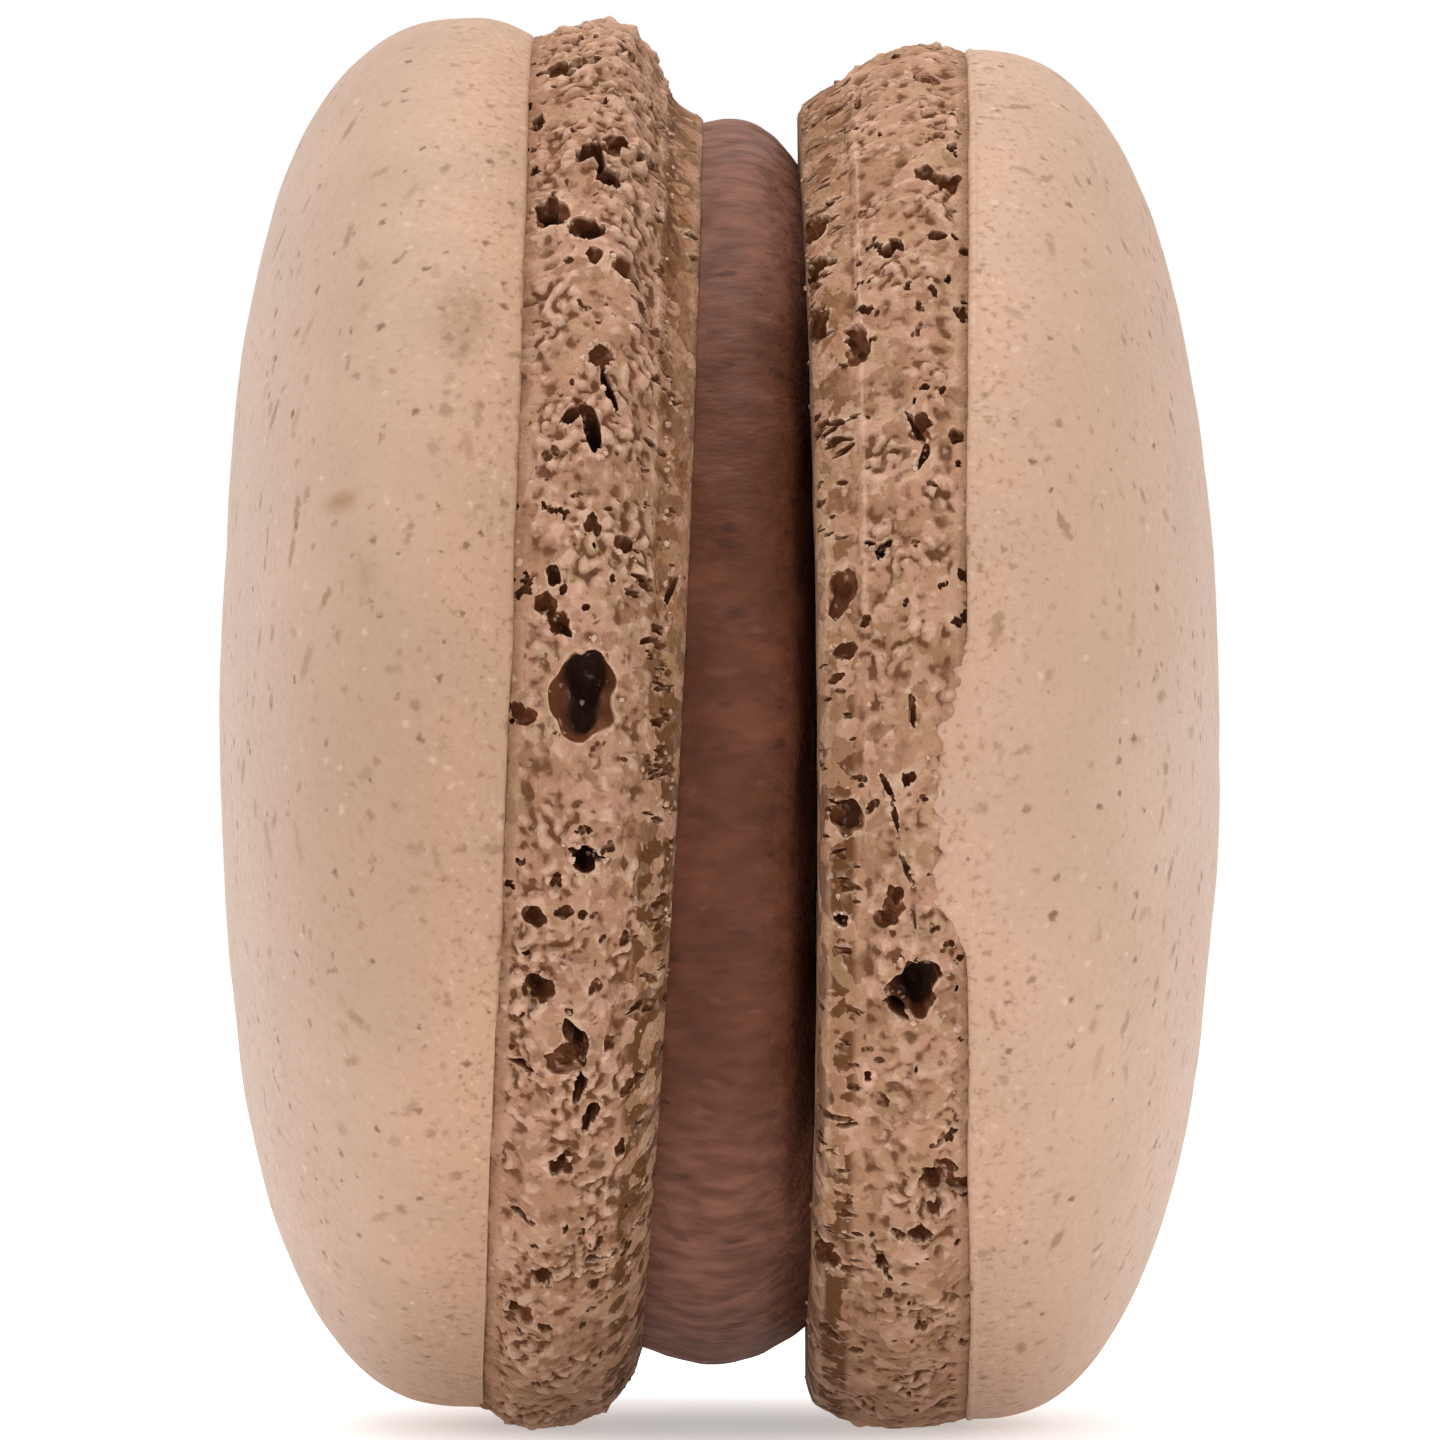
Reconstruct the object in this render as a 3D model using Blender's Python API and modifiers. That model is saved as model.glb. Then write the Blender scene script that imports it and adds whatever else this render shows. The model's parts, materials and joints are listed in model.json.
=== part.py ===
"""Chocolate macaron standing on its edge.

Two baked almond shells face each other along X, each with a smooth domed skin and a crumbly foot,
and a disc of chocolate filling runs through the gap between them. It rests on two small flat spots
at Z = 0, one under each shell. The near side, where the main caverns of the feet are, looks along -Y.
"""

import math
import random

import bmesh
import bpy
from mathutils import Matrix, Vector

MM = 0.001

# Overall sizes of the macaron, in metres.
HEIGHT = 45.0 * MM
HALF_THICKNESS = 15.87 * MM
CONTACT_GAP = 0.25 * MM

# Crumb of the feet.
RUFFLE_SIZE = 3.2 * MM
RUFFLE_HEIGHT = 0.7 * MM
CRUMB_SIZE = 1.1 * MM
CRUMB_HEIGHT = 1.5 * MM
CRUMB_RISE = 0.12
CRUMB_FALL = 0.2
LARGEST_BUBBLE = 1.0 * MM
BUBBLE_COUNT = 30
BUBBLE_FALL = 6.0
BUBBLE_CRAGS = 0.2
BUBBLE_MOUTH = 3.0
BUBBLE_ANGLES = (62, 250)
FINE_BUBBLE = 0.7 * MM

# The skin's edge steps down to the foot within this share of the foot's width.
EDGE_LIP = 0.02

# Fineness of the turned blanks, and the triangles that are kept of them.
TURN_STEPS = 200
DOME_STEPS = 12
RIM_STEPS = 4
FOOT_STEPS = 18
BASE_STEPS = 3
SHELL_TRIANGLES = 3600
FILLING_TRIANGLES = 1100
FILLING_TURN_STEPS = 120
FILLING_CROWN_STEPS = 14

SKIN_COLOUR = (0.61, 0.39, 0.27, 1.0)
FILLING_COLOUR = (0.14, 0.052, 0.031, 1.0)


class Shell:
    """The named sizes of one shell. Along its axis a shell runs from the tip of its dome, past the
    widest ring and the edge of the skin, down the foot to the flat base that meets the filling.

    side        -1 for the shell on -X, +1 for the one on +X
    axis_z      height of its axis above the floor
    radius      radius of the dome at its widest ring
    widest_x    where that ring is along X
    dome_power  squareness of the dome's outline, 2 for an ellipse
    edge        X of the skin's edge on the axis, its lean over one radius, and its bow
    base        the same three for the flat base
    edge_radius radius of the skin's edge at the bottom and at the top
    foot_low    foot outline under the axis: share of the way from skin to base, and radius
    foot_high   foot outline above the axis
    lap         where the skin laps down over the foot: angle, half its width, and how far
    caverns     the main holes: angle, X, half width along X, half length round the foot, depth
    seed        seed of the smaller bubbles
    """

    def __init__(self, **sizes):
        self.__dict__.update(sizes)


LEFT_SHELL = Shell(
    side=-1,
    axis_z=22.78 * MM,
    radius=22.19 * MM,
    widest_x=-8.0 * MM,
    dome_power=2.48,
    edge=(-6.72 * MM, 0.80 * MM, 0.33 * MM),
    base=(-1.47 * MM, 1.09 * MM, 0.41 * MM),
    edge_radius=(22.3 * MM, 21.6 * MM),
    foot_low=[(0.0, 21.95), (0.25, 22.85), (0.6, 22.6), (0.86, 21.8), (0.96, 20.9), (1.0, 20.3)],
    foot_high=[(0.0, 21.3), (0.33, 22.05), (0.58, 21.6), (0.7, 20.6), (0.8, 19.7), (1.0, 18.95)],
    lap=(0.0, 10.0, 0.0),
    caverns=[
        (1.7, -4.1, 0.95, 1.40, 1.9),
        (50.0, -3.8, 0.75, 0.95, 1.4),
        (45.0, -5.3, 0.55, 0.75, 1.2),
        (42.0, -4.1, 0.65, 0.60, 1.2),
        (38.5, -2.8, 0.55, 0.50, 1.0),
        (23.5, -3.8, 0.42, 1.20, 1.2),
        (9.0, -4.9, 0.62, 0.70, 0.7),
        (-11.5, -4.1, 0.50, 0.60, 1.1),
        (-22.0, -5.5, 0.48, 0.48, 1.0),
        (-27.5, -4.5, 0.42, 0.95, 1.1),
        (-33.5, -4.6, 0.60, 0.80, 1.2),
        (-51.0, -5.6, 0.42, 0.45, 1.0),
        (-57.5, -6.2, 0.50, 0.65, 0.9),
    ],
    seed=41,
)
RIGHT_SHELL = Shell(
    side=1,
    axis_z=22.05 * MM,
    radius=21.85 * MM,
    widest_x=8.1 * MM,
    dome_power=2.35,
    edge=(7.84 * MM, 0.0 * MM, -0.35 * MM),
    base=(2.61 * MM, -0.14 * MM, 0.50 * MM),
    edge_radius=(21.95 * MM, 21.85 * MM),
    foot_low=[(0.0, 21.6), (0.3, 22.2), (0.7, 21.85), (0.9, 21.5), (0.97, 21.2), (1.0, 20.7)],
    foot_high=[(0.0, 21.5), (0.25, 22.0), (0.5, 21.65), (0.75, 20.9), (0.95, 20.2), (1.0, 19.9)],
    lap=(-5.0, 14.0, 1.4 * MM),
    caverns=[
        (-20.5, 5.95, 0.90, 1.00, 1.5),
        (51.0, 2.95, 0.60, 0.80, 1.1),
        (45.5, 3.0, 0.50, 0.60, 1.0),
        (38.5, 3.0, 0.50, 0.75, 1.0),
        (15.0, 4.9, 0.38, 0.35, 0.9),
        (12.0, 3.7, 0.55, 0.80, 0.6),
        (-6.7, 3.9, 0.62, 0.70, 0.6),
        (-38.5, 6.5, 0.40, 0.42, 1.0),
        (-49.0, 3.3, 0.42, 0.70, 1.1),
        (-44.0, 6.2, 0.34, 0.42, 0.8),
    ],
    seed=23,
)

# The filling's crown: share of the way from the left shell to the right one, and radius.
FILLING_AXIS_Z = 21.82 * MM
CROWN_LOW = [(0.0, 19.3), (0.2, 19.65), (0.45, 19.93), (0.7, 19.6), (0.88, 19.0), (1.0, 18.55)]
CROWN_HIGH = [(0.0, 19.75), (0.3, 19.93), (0.55, 19.78), (0.75, 19.35), (0.9, 18.8), (1.0, 18.3)]


def smooth_outline(points, share):
    """The radius in metres at a share of the way along an outline, on a smooth curve through its points."""
    last = len(points) - 2
    place = next((i for i in range(last) if share <= points[i + 1][0]), last)
    before = points[max(place - 1, 0)]
    start = points[place]
    end = points[place + 1]
    after = points[min(place + 2, last + 1)]
    span = end[0] - start[0]
    t = (share - start[0]) / span
    leave = (end[1] - before[1]) / (end[0] - before[0]) * span
    arrive = (after[1] - start[1]) / (after[0] - start[0]) * span
    return MM * (
        start[1] * (2 * t**3 - 3 * t**2 + 1)
        + leave * (t**3 - 2 * t**2 + t)
        + end[1] * (3 * t**2 - 2 * t**3)
        + arrive * (t**3 - t**2)
    )


def mix(low, high, share):
    return low + (high - low) * share


def leaning_x(sizes, y, z, shell):
    """X of a ring that leans over with height and bows towards the near and far sides."""
    centre, lean, bow = sizes
    return centre + lean * (z - shell.axis_z) / shell.radius + bow * (y / shell.radius) ** 2


def foot_radius(shell, share, lift):
    """Radius of the foot at a share of the way from skin to base. lift is -1 underneath and 1 on top."""
    low = smooth_outline(shell.foot_low, share)
    high = smooth_outline(shell.foot_high, share)
    return mix(low, high, (1 + lift) / 2)


def shell_profile(shell):
    """Half outline of the turned blank, as (x, radius) from the dome's tip to the middle of the base."""
    outline = []
    depth = HALF_THICKNESS - abs(shell.widest_x)
    for step in range(DOME_STEPS):
        turn = math.pi / 2 * step / DOME_STEPS
        along = math.cos(turn) ** (2 / shell.dome_power)
        across = math.sin(turn) ** (2 / shell.dome_power)
        outline.append((shell.widest_x + shell.side * depth * along, shell.radius * across))
    edge_radius = sum(shell.edge_radius) / 2
    for step in range(RIM_STEPS + 1):
        share = step / RIM_STEPS
        outline.append((mix(shell.widest_x, shell.edge[0], share), mix(shell.radius, edge_radius, share**2)))
    for step in range(FOOT_STEPS + 1):
        share = mix(EDGE_LIP, 1.0, step / FOOT_STEPS)
        outline.append((mix(shell.edge[0], shell.base[0], share), foot_radius(shell, share, 0)))
    rim_radius = outline[-1][1]
    for step in range(1, BASE_STEPS + 1):
        outline.append((shell.base[0], rim_radius * (1 - step / BASE_STEPS)))
    return outline


def turned(name, outline, axis_z, steps):
    """A closed solid made by turning an outline of (x, radius) points round a line along X."""
    mesh = bpy.data.meshes.new(name + "_outline")
    corners = [(x, 0.0, radius) for x, radius in outline]
    mesh.from_pydata(corners, [(i, i + 1) for i in range(len(corners) - 1)], [])
    blank = bpy.data.objects.new(name + "_outline", mesh)
    bpy.context.scene.collection.objects.link(blank)
    screw = blank.modifiers.new("turn", "SCREW")
    screw.axis = "X"
    screw.steps = steps
    screw.render_steps = steps
    screw.use_merge_vertices = True
    screw.merge_threshold = 1e-6
    graph = bpy.context.evaluated_depsgraph_get()
    solid_mesh = bpy.data.meshes.new_from_object(blank.evaluated_get(graph))
    bpy.data.objects.remove(blank)
    build = bmesh.new()
    build.from_mesh(solid_mesh)
    bmesh.ops.remove_doubles(build, verts=build.verts, dist=1e-6)
    bmesh.ops.translate(build, verts=build.verts, vec=(0, 0, axis_z))
    bmesh.ops.recalc_face_normals(build, faces=build.faces)
    build.to_mesh(solid_mesh)
    build.free()
    solid = bpy.data.objects.new(name, solid_mesh)
    solid_mesh.name = name
    return solid


def press_shell(solid, shell):
    """Gives a turned shell its uneven foot, leaning base and lapping skin, and weights the foot for crumb."""
    crumb = solid.vertex_groups.new(name="crumb")
    edge_x, base_x = shell.edge[0], shell.base[0]
    low_edge, high_edge = shell.edge_radius
    mean_edge = (low_edge + high_edge) / 2
    lap_angle, lap_half, lap_reach = shell.lap
    for vertex in solid.data.vertices:
        x, y, z = vertex.co
        up = z - shell.axis_z
        radius = math.hypot(y, up)
        if radius < 1e-6:
            continue
        lift = up / radius
        foot = (x - edge_x) / (base_x - edge_x)
        rim = min(max((x - shell.widest_x) / (edge_x - shell.widest_x), 0.0), 1.0)
        if foot < EDGE_LIP / 2:
            wanted = mix(low_edge, high_edge, (1 + lift) / 2)
            grow = 1 + (wanted / mean_edge - 1) * rim**2
        else:
            foot = min(foot, 1.0)
            grow = foot_radius(shell, foot, lift) / foot_radius(shell, foot, 0)
        y, up = y * grow, up * grow
        z = shell.axis_z + up
        angle = math.degrees(math.atan2(up, -y))
        near_lap = max(0.0, 1 - ((angle - lap_angle) / lap_half) ** 2)
        edge_here = leaning_x(shell.edge, y, z, shell) - shell.side * lap_reach * near_lap
        if foot < EDGE_LIP / 2:
            x += (edge_here - edge_x) * rim
        else:
            x = mix(edge_here, leaning_x(shell.base, y, z, shell), foot)
            rise, fall = foot / CRUMB_RISE, (1 - foot) / CRUMB_FALL
            crumb.add([vertex.index], min(rise, fall, 1.0), "REPLACE")
        vertex.co = (x, y, z)


def foot_place(shell, angle, x):
    """The point of the foot's surface at an angle round the axis and an X, and the way it faces there."""
    turn = math.radians(angle)
    out = Vector((0, -math.cos(turn), math.sin(turn)))
    mean_y, mean_z = out.y * shell.radius, shell.axis_z + out.z * shell.radius
    edge_x = leaning_x(shell.edge, mean_y, mean_z, shell)
    base_x = leaning_x(shell.base, mean_y, mean_z, shell)
    share = min(max((x - edge_x) / (base_x - edge_x), 0.0), 1.0)
    radius = foot_radius(shell, share, out.z)
    return Vector((x, 0, shell.axis_z)) + out * radius, out


def add_bubble(name, shell, angle, x, sizes, draw, cutters):
    """A cutter for one hole of the foot: a craggy lump sunk into the surface, its long sides lying in it."""
    place, out = foot_place(shell, angle, x)
    half_width, half_length, depth = sizes
    round_way = out.cross(Vector((1, 0, 0)))
    facing = Matrix((Vector((1, 0, 0)), round_way, out)).transposed().to_4x4()
    mesh = bpy.data.meshes.new(name)
    build = bmesh.new()
    bmesh.ops.create_icosphere(build, subdivisions=2 if half_width > FINE_BUBBLE else 1, radius=1.0)
    for vertex in build.verts:
        vertex.co *= draw.uniform(1 - BUBBLE_CRAGS, 1 + BUBBLE_CRAGS)
        vertex.co.z *= BUBBLE_MOUTH if vertex.co.z > 0 else 1
    bmesh.ops.scale(build, verts=build.verts, vec=(half_width, half_length, depth))
    bmesh.ops.transform(build, verts=build.verts, matrix=Matrix.Translation(place) @ facing)
    build.to_mesh(mesh)
    build.free()
    bubble = bpy.data.objects.new(name, mesh)
    bubble.hide_render = True
    bubble.display_type = "WIRE"
    cutters.objects.link(bubble)


def add_foot_cutters(name, shell, cutters):
    """The named caverns of a foot, then its smaller bubbles at places drawn by a seeded rule."""
    draw = random.Random(shell.seed)
    for number, (angle, x, half_width, half_length, depth) in enumerate(shell.caverns):
        sizes = (half_width * MM, half_length * MM, depth * MM)
        add_bubble(f"{name}_cavern_{number}", shell, angle, x * MM, sizes, draw, cutters)
    for number in range(BUBBLE_COUNT):
        radius = LARGEST_BUBBLE / math.sqrt(1 + number / BUBBLE_FALL)
        angle = draw.uniform(*BUBBLE_ANGLES)
        x = mix(shell.edge[0], shell.base[0], draw.uniform(0.12, 0.92))
        stretch = draw.uniform(0.8, 1.3)
        sizes = (radius / stretch, radius * stretch, radius * draw.uniform(0.8, 1.3))
        add_bubble(f"{name}_bubble_{number}", shell, angle, x, sizes, draw, cutters)


def crumb_texture(name, size, basis):
    texture = bpy.data.textures.new(name, "CLOUDS")
    texture.noise_basis = basis
    texture.noise_scale = size
    texture.noise_depth = 1
    return texture


def add_relief(solid, texture, height):
    """Raises and lowers the crumb-weighted surface of a solid by a texture."""
    relief = solid.modifiers.new(texture.name, "DISPLACE")
    relief.texture = texture
    relief.texture_coords = "LOCAL"
    relief.vertex_group = "crumb"
    relief.strength = height
    relief.mid_level = 0.5


def cut_away(solid, cutters):
    """Takes a collection of cutters out of a solid."""
    cut = solid.modifiers.new("bubbles", "BOOLEAN")
    cut.operation = "DIFFERENCE"
    cut.operand_type = "COLLECTION"
    cut.collection = cutters
    cut.solver = "MANIFOLD"


def keep_triangles(solid, count):
    """Thins a solid's mesh to about this many triangles, most of them where its relief is."""
    graph = bpy.context.evaluated_depsgraph_get()
    mesh = solid.evaluated_get(graph).to_mesh()
    mesh.calc_loop_triangles()
    thin = solid.modifiers.new("thin", "DECIMATE")
    thin.ratio = min(1.0, count / len(mesh.loop_triangles))
    thin.use_collapse_triangulate = True
    solid.evaluated_get(graph).to_mesh_clear()


def flatten_on_floor(solid, floor):
    """Cuts the flat spot that the solid rests on."""
    cut = solid.modifiers.new("flat_spot", "BOOLEAN")
    cut.operation = "DIFFERENCE"
    cut.object = floor
    cut.solver = "MANIFOLD"


def make_floor(cutters):
    """The cutter under Z = 0."""
    side = 2 * HEIGHT
    mesh = bpy.data.meshes.new("floor")
    build = bmesh.new()
    bmesh.ops.create_cube(build, size=side)
    bmesh.ops.translate(build, verts=build.verts, vec=(0, 0, -side / 2))
    build.to_mesh(mesh)
    build.free()
    floor = bpy.data.objects.new("floor", mesh)
    floor.hide_render = True
    floor.display_type = "WIRE"
    cutters.objects.link(floor)
    return floor


def make_collection(name):
    collection = bpy.data.collections.new(name)
    bpy.context.scene.collection.children.link(collection)
    return collection


def make_material(name, colour, roughness):
    material = bpy.data.materials.new(name)
    material.use_nodes = True
    shader = material.node_tree.nodes["Principled BSDF"]
    shader.inputs["Base Color"].default_value = colour
    shader.inputs["Roughness"].default_value = roughness
    shader.inputs["Metallic"].default_value = 0.0
    return material


def make_shell(name, shell, macaron, floor, material):
    """One baked shell: turned, pressed out of true, crumbled and pitted at the foot, and stood on the floor."""
    solid = turned(name, shell_profile(shell), shell.axis_z, TURN_STEPS)
    press_shell(solid, shell)
    macaron.objects.link(solid)
    add_relief(solid, crumb_texture(name + "_ruffle", RUFFLE_SIZE, "BLENDER_ORIGINAL"), RUFFLE_HEIGHT)
    add_relief(solid, crumb_texture(name + "_crumb", CRUMB_SIZE, "VORONOI_F1"), -CRUMB_HEIGHT)
    keep_triangles(solid, SHELL_TRIANGLES)
    cutters = make_collection(name + "_cutters")
    add_foot_cutters(name, shell, cutters)
    cut_away(solid, cutters)
    flatten_on_floor(solid, floor)
    solid.data.materials.append(material)
    return solid


def filling_profile():
    """Half outline of the filling as turned: between its flat faces the crown bulges out."""
    left_x, right_x = LEFT_SHELL.base[0] + CONTACT_GAP, RIGHT_SHELL.base[0] - CONTACT_GAP
    outline = [(left_x, 0.0), (left_x, 0.45 * HEIGHT / 2)]
    for step in range(FILLING_CROWN_STEPS + 1):
        share = step / FILLING_CROWN_STEPS
        outline.append((mix(left_x, right_x, share), crown_radius(share, 0)))
    outline += [(right_x, 0.45 * HEIGHT / 2), (right_x, 0.0)]
    return outline


def crown_radius(share, lift):
    low = smooth_outline(CROWN_LOW, share)
    high = smooth_outline(CROWN_HIGH, share)
    return mix(low, high, (1 + lift) / 2)


def press_filling(solid):
    """Lays both faces of the filling along the shells' bases, and sets the crown's height round the disc."""
    left_x, right_x = LEFT_SHELL.base[0] + CONTACT_GAP, RIGHT_SHELL.base[0] - CONTACT_GAP
    for vertex in solid.data.vertices:
        x, y, z = vertex.co
        up = z - FILLING_AXIS_Z
        radius = math.hypot(y, up)
        share = (x - left_x) / (right_x - left_x)
        if radius > 1e-6:
            grow = crown_radius(share, up / radius) / crown_radius(share, 0)
            y, up = y * grow, up * grow
        z = FILLING_AXIS_Z + up
        start = leaning_x(LEFT_SHELL.base, y, z, LEFT_SHELL) + CONTACT_GAP
        end = leaning_x(RIGHT_SHELL.base, y, z, RIGHT_SHELL) - CONTACT_GAP
        vertex.co = (mix(start, end, share), y, z)


def make_filling(macaron, material):
    """The disc of chocolate filling that runs through between the two shells."""
    solid = turned("filling", filling_profile(), FILLING_AXIS_Z, FILLING_TURN_STEPS)
    press_filling(solid)
    macaron.objects.link(solid)
    keep_triangles(solid, FILLING_TRIANGLES)
    solid.data.materials.append(material)
    return solid


def main():
    for leftover in list(bpy.data.objects):
        bpy.data.objects.remove(leftover)
    macaron = make_collection("macaron")
    floor = make_floor(make_collection("floor_cutter"))
    baked = make_material("baked_shell", SKIN_COLOUR, 0.7)
    chocolate = make_material("chocolate_filling", FILLING_COLOUR, 0.6)
    make_shell("left_shell", LEFT_SHELL, macaron, floor, baked)
    make_shell("right_shell", RIGHT_SHELL, macaron, floor, baked)
    make_filling(macaron, chocolate)


main()
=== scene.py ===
"""The looks of a chocolate macaron that stands on its edge.

Each baked shell is dressed by a smooth domed skin, a crumbly foot and the loose grains on it, and the
disc of chocolate filling by one piece. Skins, feet and filling are turned round lines along X, pressed
out of true as a hand-piped biscuit is, and roughened where the real one is rough. The near side looks
along -Y.
"""

import json
import math
import random
from dataclasses import dataclass

import bpy
import numpy as np
from mathutils import Matrix, Vector, noise
from mathutils.bvhtree import BVHTree

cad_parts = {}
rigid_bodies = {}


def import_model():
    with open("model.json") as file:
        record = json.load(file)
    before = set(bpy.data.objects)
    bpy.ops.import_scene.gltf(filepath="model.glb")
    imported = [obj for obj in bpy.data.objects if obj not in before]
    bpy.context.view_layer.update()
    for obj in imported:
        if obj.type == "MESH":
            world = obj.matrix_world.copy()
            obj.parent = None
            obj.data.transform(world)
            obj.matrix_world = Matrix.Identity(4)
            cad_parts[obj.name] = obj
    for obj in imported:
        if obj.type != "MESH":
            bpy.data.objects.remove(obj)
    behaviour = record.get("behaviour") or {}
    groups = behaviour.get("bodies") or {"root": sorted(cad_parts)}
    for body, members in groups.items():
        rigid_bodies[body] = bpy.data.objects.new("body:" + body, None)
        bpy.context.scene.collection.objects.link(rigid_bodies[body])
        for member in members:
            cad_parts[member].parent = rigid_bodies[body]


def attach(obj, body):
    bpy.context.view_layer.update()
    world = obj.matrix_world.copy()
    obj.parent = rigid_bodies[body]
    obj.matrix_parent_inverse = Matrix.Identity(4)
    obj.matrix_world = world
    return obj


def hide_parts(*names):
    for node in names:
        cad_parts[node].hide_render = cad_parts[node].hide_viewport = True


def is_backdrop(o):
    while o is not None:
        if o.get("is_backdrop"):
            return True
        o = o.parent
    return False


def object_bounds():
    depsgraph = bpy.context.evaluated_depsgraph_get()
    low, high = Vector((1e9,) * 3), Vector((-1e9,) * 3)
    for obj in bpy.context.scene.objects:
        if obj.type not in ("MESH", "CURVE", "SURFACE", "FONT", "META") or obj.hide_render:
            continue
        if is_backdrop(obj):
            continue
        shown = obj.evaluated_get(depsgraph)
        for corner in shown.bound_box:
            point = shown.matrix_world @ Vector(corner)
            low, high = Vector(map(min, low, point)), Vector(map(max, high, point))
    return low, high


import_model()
cad_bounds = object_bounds()

MM = 0.001
BODY = "root"

# Sizes shared with the solids, in metres where nothing else is said.
HALF_THICKNESS = 15.87 * MM
EDGE_LIP = 0.02  # the share along the foot where it comes out from under the skin
RUFFLE_SIZE = 3.2 * MM
RUFFLE_HEIGHT = 0.5 * MM
CRUMB_RISE = 0.12  # the shares of the foot's width over which its relief sets in at the skin
CRUMB_FALL = 0.2  # and dies away at the filling


@dataclass
class Shell:
    """The named sizes of one baked shell, from the tip of its dome to the flat base at the filling."""

    name: str
    side: int  # -1 for the shell on -X, 1 for the one on +X
    axis_z: float  # height of its axis above the floor
    radius: float  # radius of the dome at its widest ring
    widest_x: float  # where that ring is along X
    dome_power: float  # squareness of the dome's outline, 2 for an ellipse
    edge: tuple  # X of the skin's edge on the axis, its lean over one radius, and its bow
    base: tuple  # the same three for the flat base
    edge_radius: tuple  # radius of the skin's edge at the bottom and at the top
    foot_low: list  # foot outline under the axis: share of the way from skin to base, radius in mm
    foot_high: list  # foot outline above the axis
    lap: tuple  # where the skin laps down over the foot: angle, half its width, how far
    fold: tuple  # the ridge where the foot turns in to the filling: share of the way, height in mm
    lumpiness: float  # how much of the foot is rough with lumps, rather than smooth between its holes
    caverns: list  # main holes: angle, X, half width, half length, depth in mm, slant in degrees
    seed: int


LEFT = Shell(
    name="left",
    side=-1,
    axis_z=22.78 * MM,
    radius=22.19 * MM,
    widest_x=-8.0 * MM,
    dome_power=2.48,
    edge=(-6.72 * MM, 0.80 * MM, 0.33 * MM),
    base=(-1.47 * MM, 1.09 * MM, 0.41 * MM),
    edge_radius=(22.3 * MM, 21.6 * MM),
    foot_low=[(0.0, 21.95), (0.25, 22.85), (0.6, 22.6), (0.86, 21.8), (0.96, 20.9), (1.0, 20.3)],
    foot_high=[(0.0, 21.3), (0.33, 22.05), (0.58, 21.6), (0.7, 20.6), (0.8, 19.7), (1.0, 18.95)],
    lap=(0.0, 10.0, 0.0),
    fold=(0.775, 0.16),
    lumpiness=0.08,
    caverns=[
        (1.7, -4.1, 0.95, 1.40, 1.9, 0),
        (51.5, -4.0, 0.50, 0.62, 1.3, 0),
        (48.5, -3.4, 0.42, 0.62, 1.4, 10),
        (45.0, -5.2, 0.48, 0.72, 1.2, 15),
        (42.3, -4.1, 0.55, 0.50, 1.2, 0),
        (38.5, -2.8, 0.50, 0.50, 1.0, 30),
        (29.3, -3.7, 0.42, 0.42, 0.5, 0),
        (26.5, -3.4, 0.16, 0.80, 0.9, 20),
        (22.8, -3.9, 0.30, 0.85, 1.2, 15),
        (24.0, -4.5, 0.22, 0.40, 0.8, -40),
        (8.5, -5.3, 0.36, 0.45, 0.5, 10),
        (7.0, -4.9, 0.30, 0.50, 0.8, 40),
        (13.5, -2.9, 0.34, 0.30, 0.5, 0),
        (-11.5, -4.1, 0.36, 0.42, 1.1, 0),
        (-11.0, -4.1, 0.14, 0.62, 1.0, 70),
        (-22.0, -5.5, 0.48, 0.42, 1.0, 0),
        (-26.3, -4.4, 0.34, 0.80, 1.1, 20),
        (-30.5, -4.3, 0.20, 0.60, 1.0, -10),
        (-33.5, -4.0, 0.26, 0.60, 1.1, -25),
        (-29.0, -6.1, 0.46, 0.14, 0.6, -15),
        (-38.0, -5.0, 0.34, 0.30, 0.9, 0),
        (-43.5, -6.1, 0.46, 0.16, 0.6, -20),
        (-50.0, -5.5, 0.38, 0.38, 1.0, 0),
        (-49.0, -3.6, 0.85, 0.16, 0.6, 8),
        (-55.0, -6.2, 0.42, 0.50, 0.9, 35),
        (50.0, -0.9, 0.34, 0.13, 0.5, 20),
        (47.0, -0.7, 0.34, 0.14, 0.5, 20),
        (11.0, -1.5, 0.16, 0.60, 0.5, -15),
    ],
    seed=41,
)
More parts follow.
